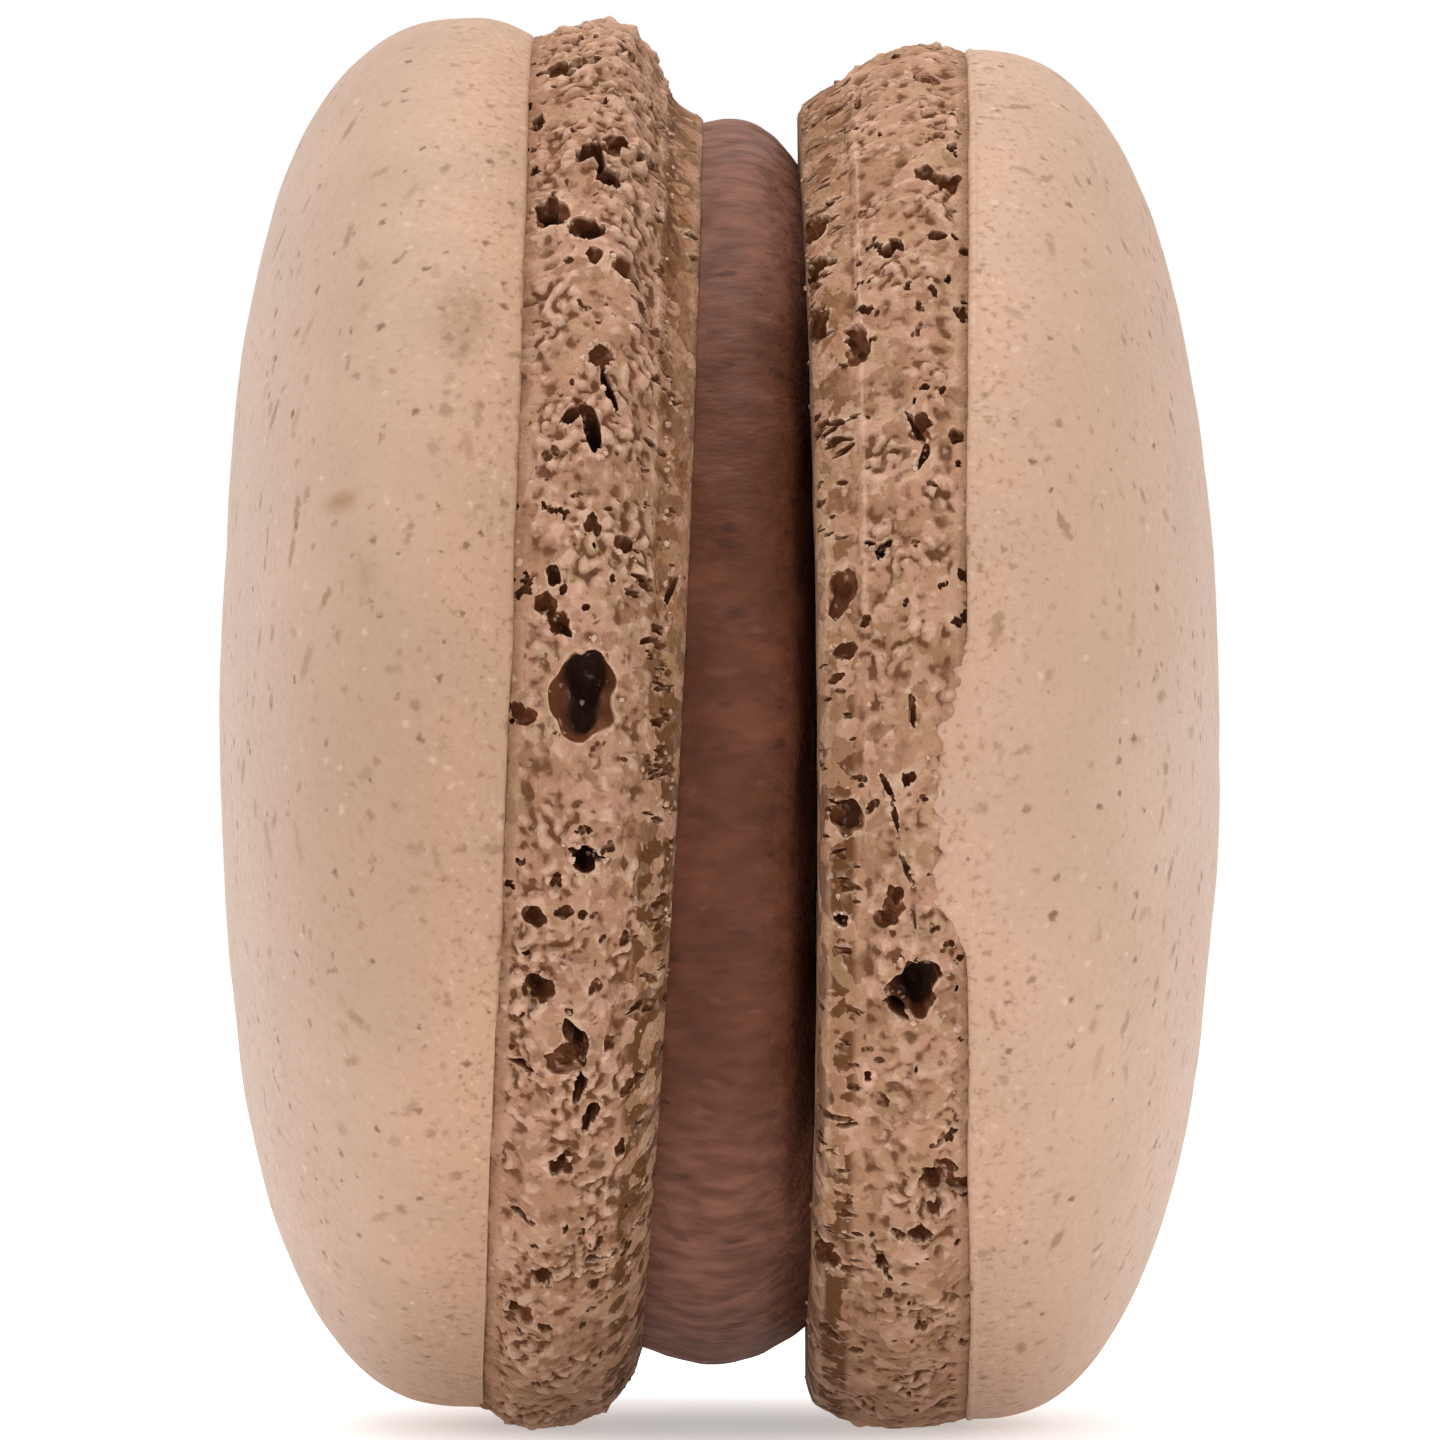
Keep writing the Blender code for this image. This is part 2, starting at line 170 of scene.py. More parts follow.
RIGHT = Shell(
    name="right",
    side=1,
    axis_z=22.05 * MM,
    radius=21.85 * MM,
    widest_x=8.1 * MM,
    dome_power=2.35,
    edge=(7.84 * MM, 0.0 * MM, -0.35 * MM),
    base=(2.61 * MM, -0.14 * MM, 0.50 * MM),
    edge_radius=(21.95 * MM, 21.85 * MM),
    foot_low=[(0.0, 21.6), (0.3, 22.2), (0.7, 21.85), (0.9, 21.5), (0.97, 21.2), (1.0, 20.7)],
    foot_high=[(0.0, 21.5), (0.25, 22.0), (0.5, 21.65), (0.75, 20.9), (0.95, 20.2), (1.0, 19.9)],
    lap=(-5.0, 13.0, 1.2 * MM),
    fold=(0.69, 0.10),
    lumpiness=-0.1,
    caverns=[
        (-20.5, 5.95, 0.72, 0.92, 1.6, 0),
        (-18.8, 6.50, 0.20, 0.45, 1.2, 55),
        (-22.3, 5.40, 0.20, 0.45, 1.2, 50),
        (51.0, 2.95, 0.45, 0.62, 1.1, 0),
        (45.5, 3.0, 0.40, 0.45, 1.0, 20),
        (38.5, 3.0, 0.40, 0.62, 1.0, 0),
        (15.0, 4.9, 0.20, 0.26, 0.9, 0),
        (15.6, 5.1, 0.34, 0.13, 0.8, 40),
        (15.8, 4.6, 0.20, 0.12, 0.7, -30),
        (12.0, 3.7, 0.48, 0.75, 0.6, -15),
        (7.0, 3.8, 0.38, 0.30, 0.5, 0),
        (-6.7, 3.9, 0.50, 0.55, 0.8, 20),
        (-15.4, 3.7, 0.24, 0.20, 0.8, 0),
        (-38.5, 6.5, 0.40, 0.42, 1.0, 0),
        (-49.0, 3.3, 0.42, 0.60, 1.1, 0),
        (-44.0, 6.2, 0.34, 0.38, 0.8, 0),
        (-48.0, 5.0, 0.24, 0.30, 0.8, 0),
        (25.5, 6.0, 0.15, 0.62, 0.7, 30),
        (23.0, 6.2, 0.15, 0.50, 0.7, -20),
        (2.1, 5.85, 0.13, 0.58, 0.28, 4),
        (-4.1, 5.1, 0.13, 0.48, 0.30, 23),
        (-6.4, 5.33, 0.12, 0.52, 0.28, 8),
        (-10.6, 5.68, 0.11, 0.56, 0.28, 21),
        (-13.6, 5.92, 0.13, 0.86, 0.30, 1),
    ],
    seed=67,
)

# The filling's crown: share of the way from the left shell to the right one, and radius in mm.
FILLING_AXIS_Z = 21.82 * MM
CROWN_LOW = [(0.0, 19.3), (0.2, 19.65), (0.45, 19.93), (0.7, 19.6), (0.88, 19.0), (1.0, 18.55)]
CROWN_HIGH = [(0.0, 19.75), (0.3, 19.93), (0.55, 19.78), (0.75, 19.35), (0.9, 18.8), (1.0, 18.3)]
FILLING_PRESS = 0.12 * MM  # how far the soft filling is pressed into each shell's base
GROOVE_DEPTH = 1.6 * MM  # how much further it draws back from the right shell at the sides

# Fineness of the turned pieces.
SKIN_TURN_STEPS = 540
SKIN_DOME_STEPS = 50
SKIN_RIM_STEPS = 12
FOOT_TURN_STEPS = 1150
FOOT_STEPS = 50
FOOT_TRIANGLES = 185000
FILLING_TURN_STEPS = 640
CROWN_STEPS = 30

# The skin's soft swells and dimples, its rounded lip, and how deep the foot reaches under it.
SWELL_SIZE = 7 * MM
SWELL_HEIGHT = 0.25 * MM
DIMPLE_SIZE = 1.6 * MM
DIMPLE_HEIGHT = 0.05 * MM
LIP_ROUND = 0.14 * MM
LIP_DROP = 1.1 * MM
LAP_COVER = 0.1 * MM  # how thick the skin lies on the foot where it laps over
LAP_FEATHER = 0.5 * MM  # the width over which its edge there sinks into the crumb
FOOT_TUCK = 0.6 * MM
FOOT_START_DROP = 0.2 * MM  # how far the foot's hidden start lies below its surface
FOOT_WALL = 4.0 * MM
FOOT_BANK = 0.2 * MM  # how far the crumb banks up to meet the skin's edge
BANK_SHARE = 0.18  # and over which share of its width
RIDGE_WIDTH = 0.02  # of the ridge along the fold, as a share of the foot's width

# The foot's relief: hollow membranes between ridges, round lumps with creases between them, and grain.
MEMBRANE_SIZE = 1.3 * MM
MEMBRANE_DEPTH = 0.45 * MM
LUMP_SIZE = 0.52 * MM
LUMP_HEIGHT = 0.55 * MM
ROUGH_PATCH = 1.7 * MM  # the size of the patches where the crumb is rough or smooth
SMOOTH_PATCH_RELIEF = 0.18  # how much of the lumps' height is left on the smooth ones
LAP_RELIEF = 0.2  # and where the skin laps over the foot
STRIP_RELIEF = 0.3  # and on the strip between the fold and the filling
STRIP_RUFFLE = 0.35  # how much of the ruffle and the membranes is left on that strip
CREASE_LEVEL = 0.3  # the value of the creased noise that moves nothing
GRAIN_SIZE = 0.25 * MM
GRAIN_HEIGHT = 0.06 * MM

# Bubbles of the crumb, from the largest radius to the smallest.
BUBBLE_COUNT = 1300
LARGEST_BUBBLE = 0.42 * MM
SMALLEST_BUBBLE = 0.095 * MM
STRIP_BUBBLE = 0.22 * MM  # the largest radius on the strip between the fold and the filling
BUBBLE_FALL = 110.0  # the number of bubbles over which their sizes fall off
BUBBLE_MOUTH = 3.0  # how much a bubble is drawn out above the surface, to cut through it
BUBBLE_SHARES = (0.03, 1.02)  # where along the foot the bubbles lie
CLUSTERED = 0.55  # the share of the bubbles that run into the one before them
CLUSTER_STEP = 1.2  # how many radii away from it
INNER_BUBBLES = 0.25  # the share of the others that lie on the strip
FINER_FROM = (0.22 * MM, 0.5 * MM)  # the radii from which a finer mould is used
HOLLOW_REACH = 8  # smoothings of the surface, to tell its lumps from its creases

# Loose grains of crumb stuck to the foot: at the rim of each main hole, at its inner edge, and all over.
RIM_GRAINS = 9
RIM_REACH = 1.15  # how far from a hole's middle they lie, as a share of its size
EDGE_GRAINS = 240
STRAY_GRAINS = 130
LARGEST_GRAIN = 0.12 * MM
SMALLEST_GRAIN = 0.05 * MM

# The filling: the radius inside which its faces are flat, its smears and ripples, and the strength of the
# painted sheen on the top of its crown.
CREAM_FACE = 16 * MM
CROWN_FROM = (16.5 * MM, 18 * MM)  # the radii between which its relief sets in
SMEAR_SIZE = 2.4 * MM
SMEAR_HEIGHT = 0.3 * MM
RIPPLE_SIZE = 0.45 * MM
RIPPLE_HEIGHT = 0.04 * MM
TOP_PAINTED_SHEEN = 0.75

MERGE_DISTANCE = 0.002 * MM
CURVE_SAMPLES = 240


def smooth_curve(points):
    """Two arrays, share and radius in metres, that follow a smooth curve through an outline's points."""
    place = np.array([point[0] for point in points])
    radius = np.array([point[1] for point in points]) * MM
    slope = np.gradient(radius, place)
    shares = np.linspace(place[0], place[-1], CURVE_SAMPLES)
    segment = np.clip(np.searchsorted(place, shares, side="right") - 1, 0, len(place) - 2)
    span = place[segment + 1] - place[segment]
    t = (shares - place[segment]) / span
    curve = (
        radius[segment] * (2 * t**3 - 3 * t**2 + 1)
        + slope[segment] * span * (t**3 - 2 * t**2 + t)
        + radius[segment + 1] * (3 * t**2 - 2 * t**3)
        + slope[segment + 1] * span * (t**3 - t**2)
    )
    return shares, curve


def mix(low, high, share):
    return low + (high - low) * share


def outline_radius(low, high, share, lift):
    """Radius at a share along two outlines: low holds underneath, where lift is -1, and high on top."""
    low_radius = np.interp(share, *smooth_curve(low))
    high_radius = np.interp(share, *smooth_curve(high))
    return mix(low_radius, high_radius, (1 + lift) / 2)


def foot_radius(shell, share, lift):
    return outline_radius(shell.foot_low, shell.foot_high, share, lift)


def leaning_x(sizes, y, z, shell):
    """X of a ring that leans over with height and bows towards the near and far sides."""
    centre, lean, bow = sizes
    return centre + lean * (z - shell.axis_z) / shell.radius + bow * (y / shell.radius) ** 2


def lap_share(shell, y, z):
    """0 to 1: how far the skin's edge has slipped over the foot at an angle round the axis."""
    lap_angle, lap_half, _ = shell.lap
    angle = np.degrees(np.arctan2(z - shell.axis_z, -y))
    near_lap = np.clip(1 - ((angle - lap_angle) / lap_half) ** 4, 0, None)
    ragged = 1 + 0.11 * np.sin(angle * 0.9) + 0.09 * np.sin(angle * 2.3 + 1) + 0.06 * np.sin(angle * 4.1)
    return near_lap * ragged


def lapped_edge_x(shell, y, z):
    """X of the skin's edge, with the stretch where the skin laps down over the foot."""
    return leaning_x(shell.edge, y, z, shell) - shell.side * shell.lap[2] * lap_share(shell, y, z)


def share_of_foot(shell, x, y, z):
    """How far a point lies along the foot: 0 under the skin's edge, 1 at the filling."""
    edge_x = leaning_x(shell.edge, y, z, shell)
    return (x - edge_x) / (leaning_x(shell.base, y, z, shell) - edge_x)


def smooth_step(low, high, value):
    t = np.clip((value - low) / (high - low), 0, 1)
    return t * t * (3 - 2 * t)


def points_of(piece):
    points = np.empty(len(piece.data.vertices) * 3)
    piece.data.vertices.foreach_get("co", points)
    return points.reshape(-1, 3)


def set_points(piece, points):
    piece.data.vertices.foreach_set("co", np.ascontiguousarray(points, dtype=float).ravel())
    piece.data.update()


def keep_values(piece, name, values):
    """Keeps a number for each vertex, for the piece's material to read."""
    attribute = piece.data.attributes.new(name, "FLOAT", "POINT")
    attribute.data.foreach_set("value", np.asarray(values, dtype=np.float32))


def hollow_values(piece, smoothings):
    """How deep each vertex lies under the smoothed surface: above 0 in creases, below 0 on lumps and rims."""
    points = points_of(piece)
    ends = np.empty(len(piece.data.edges) * 2, np.int32)
    piece.data.edges.foreach_get("vertices", ends)
    first, second = ends.reshape(-1, 2).T
    neighbours = np.bincount(np.concatenate([first, second]), minlength=len(points))[:, None]
    smooth = points
    for _ in range(smoothings):
        around = np.zeros_like(smooth)
        for axis in range(3):
            around[:, axis] += np.bincount(first, smooth[second, axis], len(points))
            around[:, axis] += np.bincount(second, smooth[first, axis], len(points))
        smooth = (smooth + around / neighbours) / 2
    normals = np.empty(len(points) * 3)
    piece.data.vertex_normals.foreach_get("vector", normals)
    return np.einsum("ij,ij->i", smooth - points, normals.reshape(-1, 3))


def weigh(piece, name, weights):
    group = piece.vertex_groups.new(name=name)
    for index, weight in enumerate(weights):
        if weight > 0:
            group.add([index], float(weight), "REPLACE")


def pick(piece):
    """Makes a piece the only one selected, and the active one."""
    bpy.ops.object.select_all(action="DESELECT")
    piece.select_set(True)
    bpy.context.view_layer.objects.active = piece


def turn_outline(name, outline, axis_z, steps):
    """A piece drawn as an outline of (x, radius) points, point by point, and turned round a line along X."""
    bpy.ops.object.select_all(action="DESELECT")
    bpy.ops.mesh.primitive_plane_add(size=MM, location=(0, 0, axis_z))
    piece = bpy.context.object
    piece.name = piece.data.name = name
    bpy.ops.object.mode_set(mode="EDIT")
    bpy.ops.mesh.select_all(action="SELECT")
    bpy.ops.mesh.merge(type="CENTER")
    first_x, first_radius = outline[0]
    bpy.ops.transform.translate(value=(first_x, 0, first_radius))
    for (x, radius), (next_x, next_radius) in zip(outline, outline[1:]):
        step = (next_x - x, 0, next_radius - radius)
        bpy.ops.mesh.extrude_region_move(TRANSFORM_OT_translate={"value": step})
    bpy.ops.object.mode_set(mode="OBJECT")
    turn = piece.modifiers.new("turn", "SCREW")
    turn.axis = "X"
    turn.angle = math.tau
    turn.steps = turn.render_steps = steps
    turn.use_merge_vertices = True
    turn.merge_threshold = MERGE_DISTANCE
    apply_modifiers(piece)
    bpy.ops.object.transform_apply(location=True, rotation=False, scale=False)
    bpy.ops.object.mode_set(mode="EDIT")
    bpy.ops.mesh.select_all(action="SELECT")
    bpy.ops.mesh.remove_doubles(threshold=MERGE_DISTANCE)
    bpy.ops.mesh.normals_make_consistent(inside=False)
    bpy.ops.object.mode_set(mode="OBJECT")
    return piece


def apply_modifiers(piece):
    pick(piece)
    for modifier in list(piece.modifiers):
        bpy.ops.object.modifier_apply(modifier=modifier.name)


def add_relief(piece, name, size, height, group="", basis="BLENDER_ORIGINAL", creased=False):
    """Raises and lowers a piece's surface by a cloudy texture of one grain size, or one of creased lumps."""
    texture = bpy.data.textures.new(f"{piece.name}_{name}", "CLOUDS")
    texture.noise_basis = basis
    texture.noise_scale = size
    texture.noise_depth = 1
    texture.noise_type = "HARD_NOISE" if creased else "SOFT_NOISE"
    relief = piece.modifiers.new(name, "DISPLACE")
    relief.texture = texture
    relief.texture_coords = "LOCAL"
    relief.vertex_group = group
    relief.strength = height
    relief.mid_level = CREASE_LEVEL if creased else 0.5


def shade_smooth(piece, angle):
    pick(piece)
    bpy.ops.object.shade_smooth_by_angle(angle=math.radians(angle))


def finish_piece(piece, node, material):
    """Gives a finished piece its material, and its place in the frame."""
    piece.data.materials.clear()
    piece.data.materials.append(material)
    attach(piece, BODY)
    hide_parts(node)


def skin_outline(shell):
    """Half outline of a skin: dome, rim, rounded lip, and a hidden flat back."""
    outline = []
    depth = HALF_THICKNESS - abs(shell.widest_x)
    for step in range(SKIN_DOME_STEPS):
        turn = math.pi / 2 * step / SKIN_DOME_STEPS
        along = math.cos(turn) ** (2 / shell.dome_power)
        across = math.sin(turn) ** (2 / shell.dome_power)
        outline.append((shell.widest_x + shell.side * depth * along, shell.radius * across))
    edge_x = shell.edge[0]
    edge_radius = sum(shell.edge_radius) / 2
    for step in range(SKIN_RIM_STEPS):
        share = step / SKIN_RIM_STEPS
        rim_x = mix(shell.widest_x, edge_x + shell.side * LIP_ROUND, share)
        outline.append((rim_x, mix(shell.radius, edge_radius, share**2)))
    for turn in np.radians([0, 30, 60, 90]):
        round_x = edge_x + shell.side * LIP_ROUND * (1 - math.sin(turn))
        outline.append((round_x, edge_radius - LIP_ROUND * (1 - math.cos(turn))))
    outline.append((edge_x, edge_radius - LIP_DROP))
    outline.append((edge_x, 0.0))
    return outline


def make_skin(shell, material):
    """The smooth baked skin of one shell, from the tip of its dome to its lip over the foot."""
    skin = turn_outline(f"{shell.name}_skin", skin_outline(shell), shell.axis_z, SKIN_TURN_STEPS)
    x, y, z = points_of(skin).T
    up = z - shell.axis_z
    radius = np.hypot(y, up)
    lift = up / np.maximum(radius, 1e-9)
    rim = np.clip((x - shell.widest_x) / (shell.edge[0] - shell.widest_x), 0, 1)
    low_edge, high_edge = shell.edge_radius
    wanted = mix(low_edge, high_edge, (1 + lift) / 2)
    grow = 1 + (wanted / ((low_edge + high_edge) / 2) - 1) * rim**2
    y, up = y * grow, up * grow
    z = shell.axis_z + up
    x = x + (lapped_edge_x(shell, y, z) - shell.edge[0]) * rim
    y, z = lay_lap(shell, x, y, z)
    set_points(skin, np.stack([x, y, np.maximum(z, 0)], axis=1))
    add_relief(skin, "swell", SWELL_SIZE, SWELL_HEIGHT)
    add_relief(skin, "dimple", DIMPLE_SIZE, DIMPLE_HEIGHT)
    apply_modifiers(skin)
    x, y, z = points_of(skin).T
    set_points(skin, np.stack([x, y, np.maximum(z, 0)], axis=1))
    from_edge = shell.side * (x - lapped_edge_x(shell, y, z))
    keep_values(skin, "from_edge", from_edge / MM)
    keep_values(skin, "stain", stain_values(shell, x, y, z))
    shade_smooth(skin, 50)
    finish_piece(skin, f"{shell.name}_shell", material)


def lay_lap(shell, x, y, z):
    """Lays the skin that has slipped over the foot on the foot's own curve, its edge sunk into the crumb."""
    up = z - shell.axis_z
    radius = np.hypot(y, up)
    share = share_of_foot(shell, x, y, z)
    from_edge = shell.side * (x - lapped_edge_x(shell, y, z))
    on_foot = (share > 0) & (radius > shell.radius - 2 * LIP_ROUND) & (lap_share(shell, y, z) > 0)
    lift = up / np.maximum(radius, 1e-9)
    step = radius - foot_radius(shell, 0.0, lift)
    cover = mix(step, LAP_COVER, smooth_step(0.0, 0.12, share))
    cover = cover - 3 * LAP_COVER * smooth_step(LAP_FEATHER, 0.0, from_edge)
    wanted = foot_radius(shell, np.clip(share, 0, 1), lift) + cover
    grow = np.where(on_foot, wanted / np.maximum(radius, 1e-9), 1.0)
    return y * grow, shell.axis_z + up * grow


# Stains of the left skin: angle, X, half width along X and half length round the dome in mm, strength.
LEFT_STAINS = [
    (33.0, -7.9, 1.0, 1.7, 1.0),
    (18.0, -11.6, 0.6, 0.4, 1.0),
    (11.0, -10.8, 0.45, 0.8, 0.5),
    (-10.0, -10.3, 4.5, 9.0, 0.3),
]


def stain_values(shell, x, y, z):
    """How strongly each point of a skin is stained by its brown blotches."""
    stain = np.zeros(len(x))
    angle = np.arctan2(z - shell.axis_z, -y)
    for middle, stain_x, half_width, half_length, strength in LEFT_STAINS if shell.side < 0 else []:
        round_way = (angle - math.radians(middle)) * shell.radius
        far = np.hypot((x - stain_x * MM) / (half_width * MM), round_way / (half_length * MM))
        stain = np.maximum(stain, strength * (1 - smooth_step(0.2, 1.3, far)))
    return stain


def foot_outline(shell):
    """Closed half outline of a foot ring: from under the skin, down the foot, and back inside."""
    start_x = shell.edge[0] + shell.side * FOOT_TUCK
    outline = [(start_x, foot_radius(shell, 0.0, 0.0) - FOOT_WALL)]
    outline.append((start_x, foot_radius(shell, 0.0, 0.0) - FOOT_START_DROP))
    for step in range(FOOT_STEPS + 1):
        share = mix(EDGE_LIP, 1.0, step / FOOT_STEPS)
        outline.append((mix(shell.edge[0], shell.base[0], share), foot_radius(shell, share, 0.0)))
    for drop in (0.25, 0.6, 1.0):
        outline.append((shell.base[0], mix(outline[FOOT_STEPS + 2][1], outline[0][1], drop)))
    outline.append(outline[0])
    return outline


def press_foot(shell, foot):
    """Leans a turned foot over, gives it its height underneath and on top, and weighs where crumb shows."""
    x, y, z = points_of(foot).T
    edge_x, base_x = shell.edge[0], shell.base[0]
    share = (x - edge_x) / (base_x - edge_x)
    inside = np.clip(share, 0, 1)
    up = z - shell.axis_z
    radius = np.hypot(y, up)
    lift = up / radius
    turned_radius = foot_radius(shell, inside, 0 * lift)
    fold_share, fold_height = shell.fold
    ridge = fold_height * MM * np.exp(-(((share - fold_share) / RIDGE_WIDTH) ** 2))
    ridge = ridge * smooth_step(-0.3, 0.4, lift)
    bank = FOOT_BANK * smooth_step(BANK_SHARE, 0.0, share)
    grow = (foot_radius(shell, inside, lift) + ridge + bank) / turned_radius
    y, up = y * grow, up * grow
    z = shell.axis_z + up
    x = mix(leaning_x(shell.edge, y, z, shell), leaning_x(shell.base, y, z, shell), share)
    points = np.stack([x, y, z], axis=1)
    set_points(foot, points)
    outer = smooth_step(1.2 * MM, 0.4 * MM, turned_radius - radius)
    turned_in = smooth_step(0.03, -0.03, share - fold_share)
    open_crumb = np.minimum(share / CRUMB_RISE, (1 - share) / CRUMB_FALL) * mix(STRIP_RUFFLE, 1, turned_in)
    weigh(foot, "crumb", np.clip(open_crumb, 0, 1) * outer)
    rough = np.array([noise.noise(Vector(point) / ROUGH_PATCH) for point in points])
    rough = smooth_step(-0.1, 0.3, rough + shell.lumpiness)
    rough = rough * mix(1, LAP_RELIEF, np.clip(lap_share(shell, y, z), 0, 1))
    rough = mix(SMOOTH_PATCH_RELIEF, 1, rough) * mix(STRIP_RELIEF, 1, turned_in)
    weigh(foot, "surface", rough * outer * (share > -0.02) * np.clip((1 - share) / 0.03, 0, 1))


def foot_place(shell, angle, x):
    """The point of the foot's surface at an angle round the axis and an X, and the way it faces there."""
    turn = math.radians(angle)
    out = Vector((0, -math.cos(turn), math.sin(turn)))
    mean_y, mean_z = out.y * shell.radius, shell.axis_z + out.z * shell.radius
    share = min(max(share_of_foot(shell, x, mean_y, mean_z), 0.0), 1.0)
    return Vector((x, 0, shell.axis_z)) + out * float(foot_radius(shell, share, out.z)), out


def make_bubble_moulds():
    """Round lumps of four finenesses, from which every grain and bubble is copied."""
    moulds = []
    for subdivisions in (1, 2, 3, 4):
        bpy.ops.object.select_all(action="DESELECT")
        bpy.ops.mesh.primitive_ico_sphere_add(subdivisions=subdivisions, radius=1.0)
        moulds.append(bpy.context.object)
    return moulds


def add_bubble(shell, moulds, collection, angle, x, sizes, slant, draw):
    """One craggy lump sunk into the foot, its long sides lying in the surface, turned there by its slant."""
    half_width, half_length, depth = sizes
    largest = max(half_width, half_length)
    mould = moulds[1 + sum(largest > radius for radius in FINER_FROM)]
    place, out = foot_place(shell, angle, x)
    facing = Matrix((Vector((1, 0, 0)), out.cross(Vector((1, 0, 0))), out)).transposed().to_4x4()
    facing @= Matrix.Rotation(math.radians(slant), 4, "Z")
    mesh = mould.data.copy()
    offset = Vector([draw.uniform(-50, 50) for _ in range(3)])
    for vertex in mesh.vertices:
        crag = 0.5 * noise.noise(vertex.co * 1.3 + offset) + 0.12 * noise.noise(vertex.co * 3 + offset)
        vertex.co *= 1 + crag
        vertex.co.z *= BUBBLE_MOUTH if vertex.co.z > 0 else 1
    mesh.transform(Matrix.Translation(place) @ facing @ Matrix.Diagonal((half_width, half_length, depth, 1)))
    collection.objects.link(bpy.data.objects.new(f"{shell.name}_bubble", mesh))


def make_bubbles(shell, moulds):
    """All the holes of one foot: its named caverns, and many smaller bubbles at seeded places."""
    collection = bpy.data.collections.new(f"{shell.name}_bubbles")
    bpy.context.scene.collection.children.link(collection)
    draw = random.Random(shell.seed)
    for angle, x, half_width, half_length, depth, slant in shell.caverns:
        sizes = (half_width * MM, half_length * MM, depth * MM)
        add_bubble(shell, moulds, collection, angle, x * MM, sizes, slant, draw)
    foot_width = abs(shell.base[0] - shell.edge[0])
    first_share, last_share = BUBBLE_SHARES
    angle = share = 0.5
    for number in range(BUBBLE_COUNT):
        radius = max(SMALLEST_BUBBLE, LARGEST_BUBBLE / math.sqrt(1 + number / BUBBLE_FALL * 2))
        stretch = draw.uniform(0.75, 1.4)
        if draw.random() < CLUSTERED:
            way = draw.uniform(0, math.tau)
            angle += math.degrees(CLUSTER_STEP * radius * math.sin(way) / shell.radius)
            share += CLUSTER_STEP * radius * math.cos(way) / foot_width
            share = min(max(share, first_share), last_share)
        else:
            lowest = shell.fold[0] if draw.random() < INNER_BUBBLES else first_share
            angle, share = draw.uniform(0, 360), draw.uniform(lowest, last_share)
        if share > shell.fold[0]:
            radius, stretch = min(radius, STRIP_BUBBLE), draw.uniform(0.45, 0.9)
        x = mix(shell.edge[0], shell.base[0], share)
        sizes = (radius / stretch, radius * stretch, radius * draw.uniform(0.9, 1.6))
        add_bubble(shell, moulds, collection, angle, x, sizes, draw.uniform(-25, 25), draw)
    return collection


def cut_bubbles(foot, collection):
    cut = foot.modifiers.new("bubbles", "BOOLEAN")
    cut.operation = "DIFFERENCE"
    cut.operand_type = "COLLECTION"
    cut.collection = collection
    cut.solver = "MANIFOLD"
    apply_modifiers(foot)
    for bubble in list(collection.objects):
        bpy.data.objects.remove(bubble)
    bpy.data.collections.remove(collection)


def keep_triangles(piece, most):
    """Thins a piece's mesh, flattest places first, down to a number of triangles."""
    piece.data.calc_loop_triangles()
    thin = piece.modifiers.new("thin", "DECIMATE")
    thin.ratio = min(1.0, most / len(piece.data.loop_triangles))
    apply_modifiers(piece)


def drop_scraps(piece):
    """Deletes the loose bits that cutting may leave, and keeps the body that the first vertex is on."""
    pick(piece)
    bpy.ops.object.mode_set(mode="EDIT")
    bpy.ops.mesh.select_all(action="DESELECT")
    bpy.ops.object.mode_set(mode="OBJECT")
    piece.data.vertices[0].select = True
    bpy.ops.object.mode_set(mode="EDIT")
    bpy.ops.mesh.select_linked()
    bpy.ops.mesh.select_all(action="INVERT")
    bpy.ops.mesh.delete(type="VERT")
    bpy.ops.object.mode_set(mode="OBJECT")


def surface_tree(piece):
    return BVHTree.FromObject(piece, bpy.context.evaluated_depsgraph_get())


def make_foot(shell, moulds, material):
    """The crumbly foot of one shell, a ring that runs from under the skin to the filling."""
    foot = turn_outline(f"{shell.name}_foot", foot_outline(shell), shell.axis_z, FOOT_TURN_STEPS)
    press_foot(shell, foot)
    add_relief(foot, "ruffle", RUFFLE_SIZE, RUFFLE_HEIGHT, "crumb")
    add_relief(foot, "membranes", MEMBRANE_SIZE, MEMBRANE_DEPTH, "crumb", "VORONOI_F1")
    add_relief(foot, "lumps", LUMP_SIZE, LUMP_HEIGHT, "surface", creased=True)
    apply_modifiers(foot)
    uncut = surface_tree(foot)
    cut_bubbles(foot, make_bubbles(shell, moulds))
    drop_scraps(foot)
    foot.modifiers.new("rounded_rims", "SMOOTH")
    apply_modifiers(foot)
    keep_triangles(foot, FOOT_TRIANGLES)
    depth = [uncut.find_nearest(vertex.co)[3] for vertex in foot.data.vertices]
    add_relief(foot, "grain", GRAIN_SIZE, GRAIN_HEIGHT)
    apply_modifiers(foot)
    x, y, z = points_of(foot).T
    set_points(foot, np.stack([x, y, np.maximum(z, 0)], axis=1))
    # depth drives the painted shade in the holes
    keep_values(foot, "depth", np.array(depth) / MM)
    keep_values(foot, "share", share_of_foot(shell, x, y, z))
    # hollow drives the painted crease shade and the painted highlight on lumps
    keep_values(foot, "hollow", hollow_values(foot, HOLLOW_REACH) / MM)
    shade_smooth(foot, 45)
    finish_piece(foot, f"{shell.name}_shell", material)
    return foot


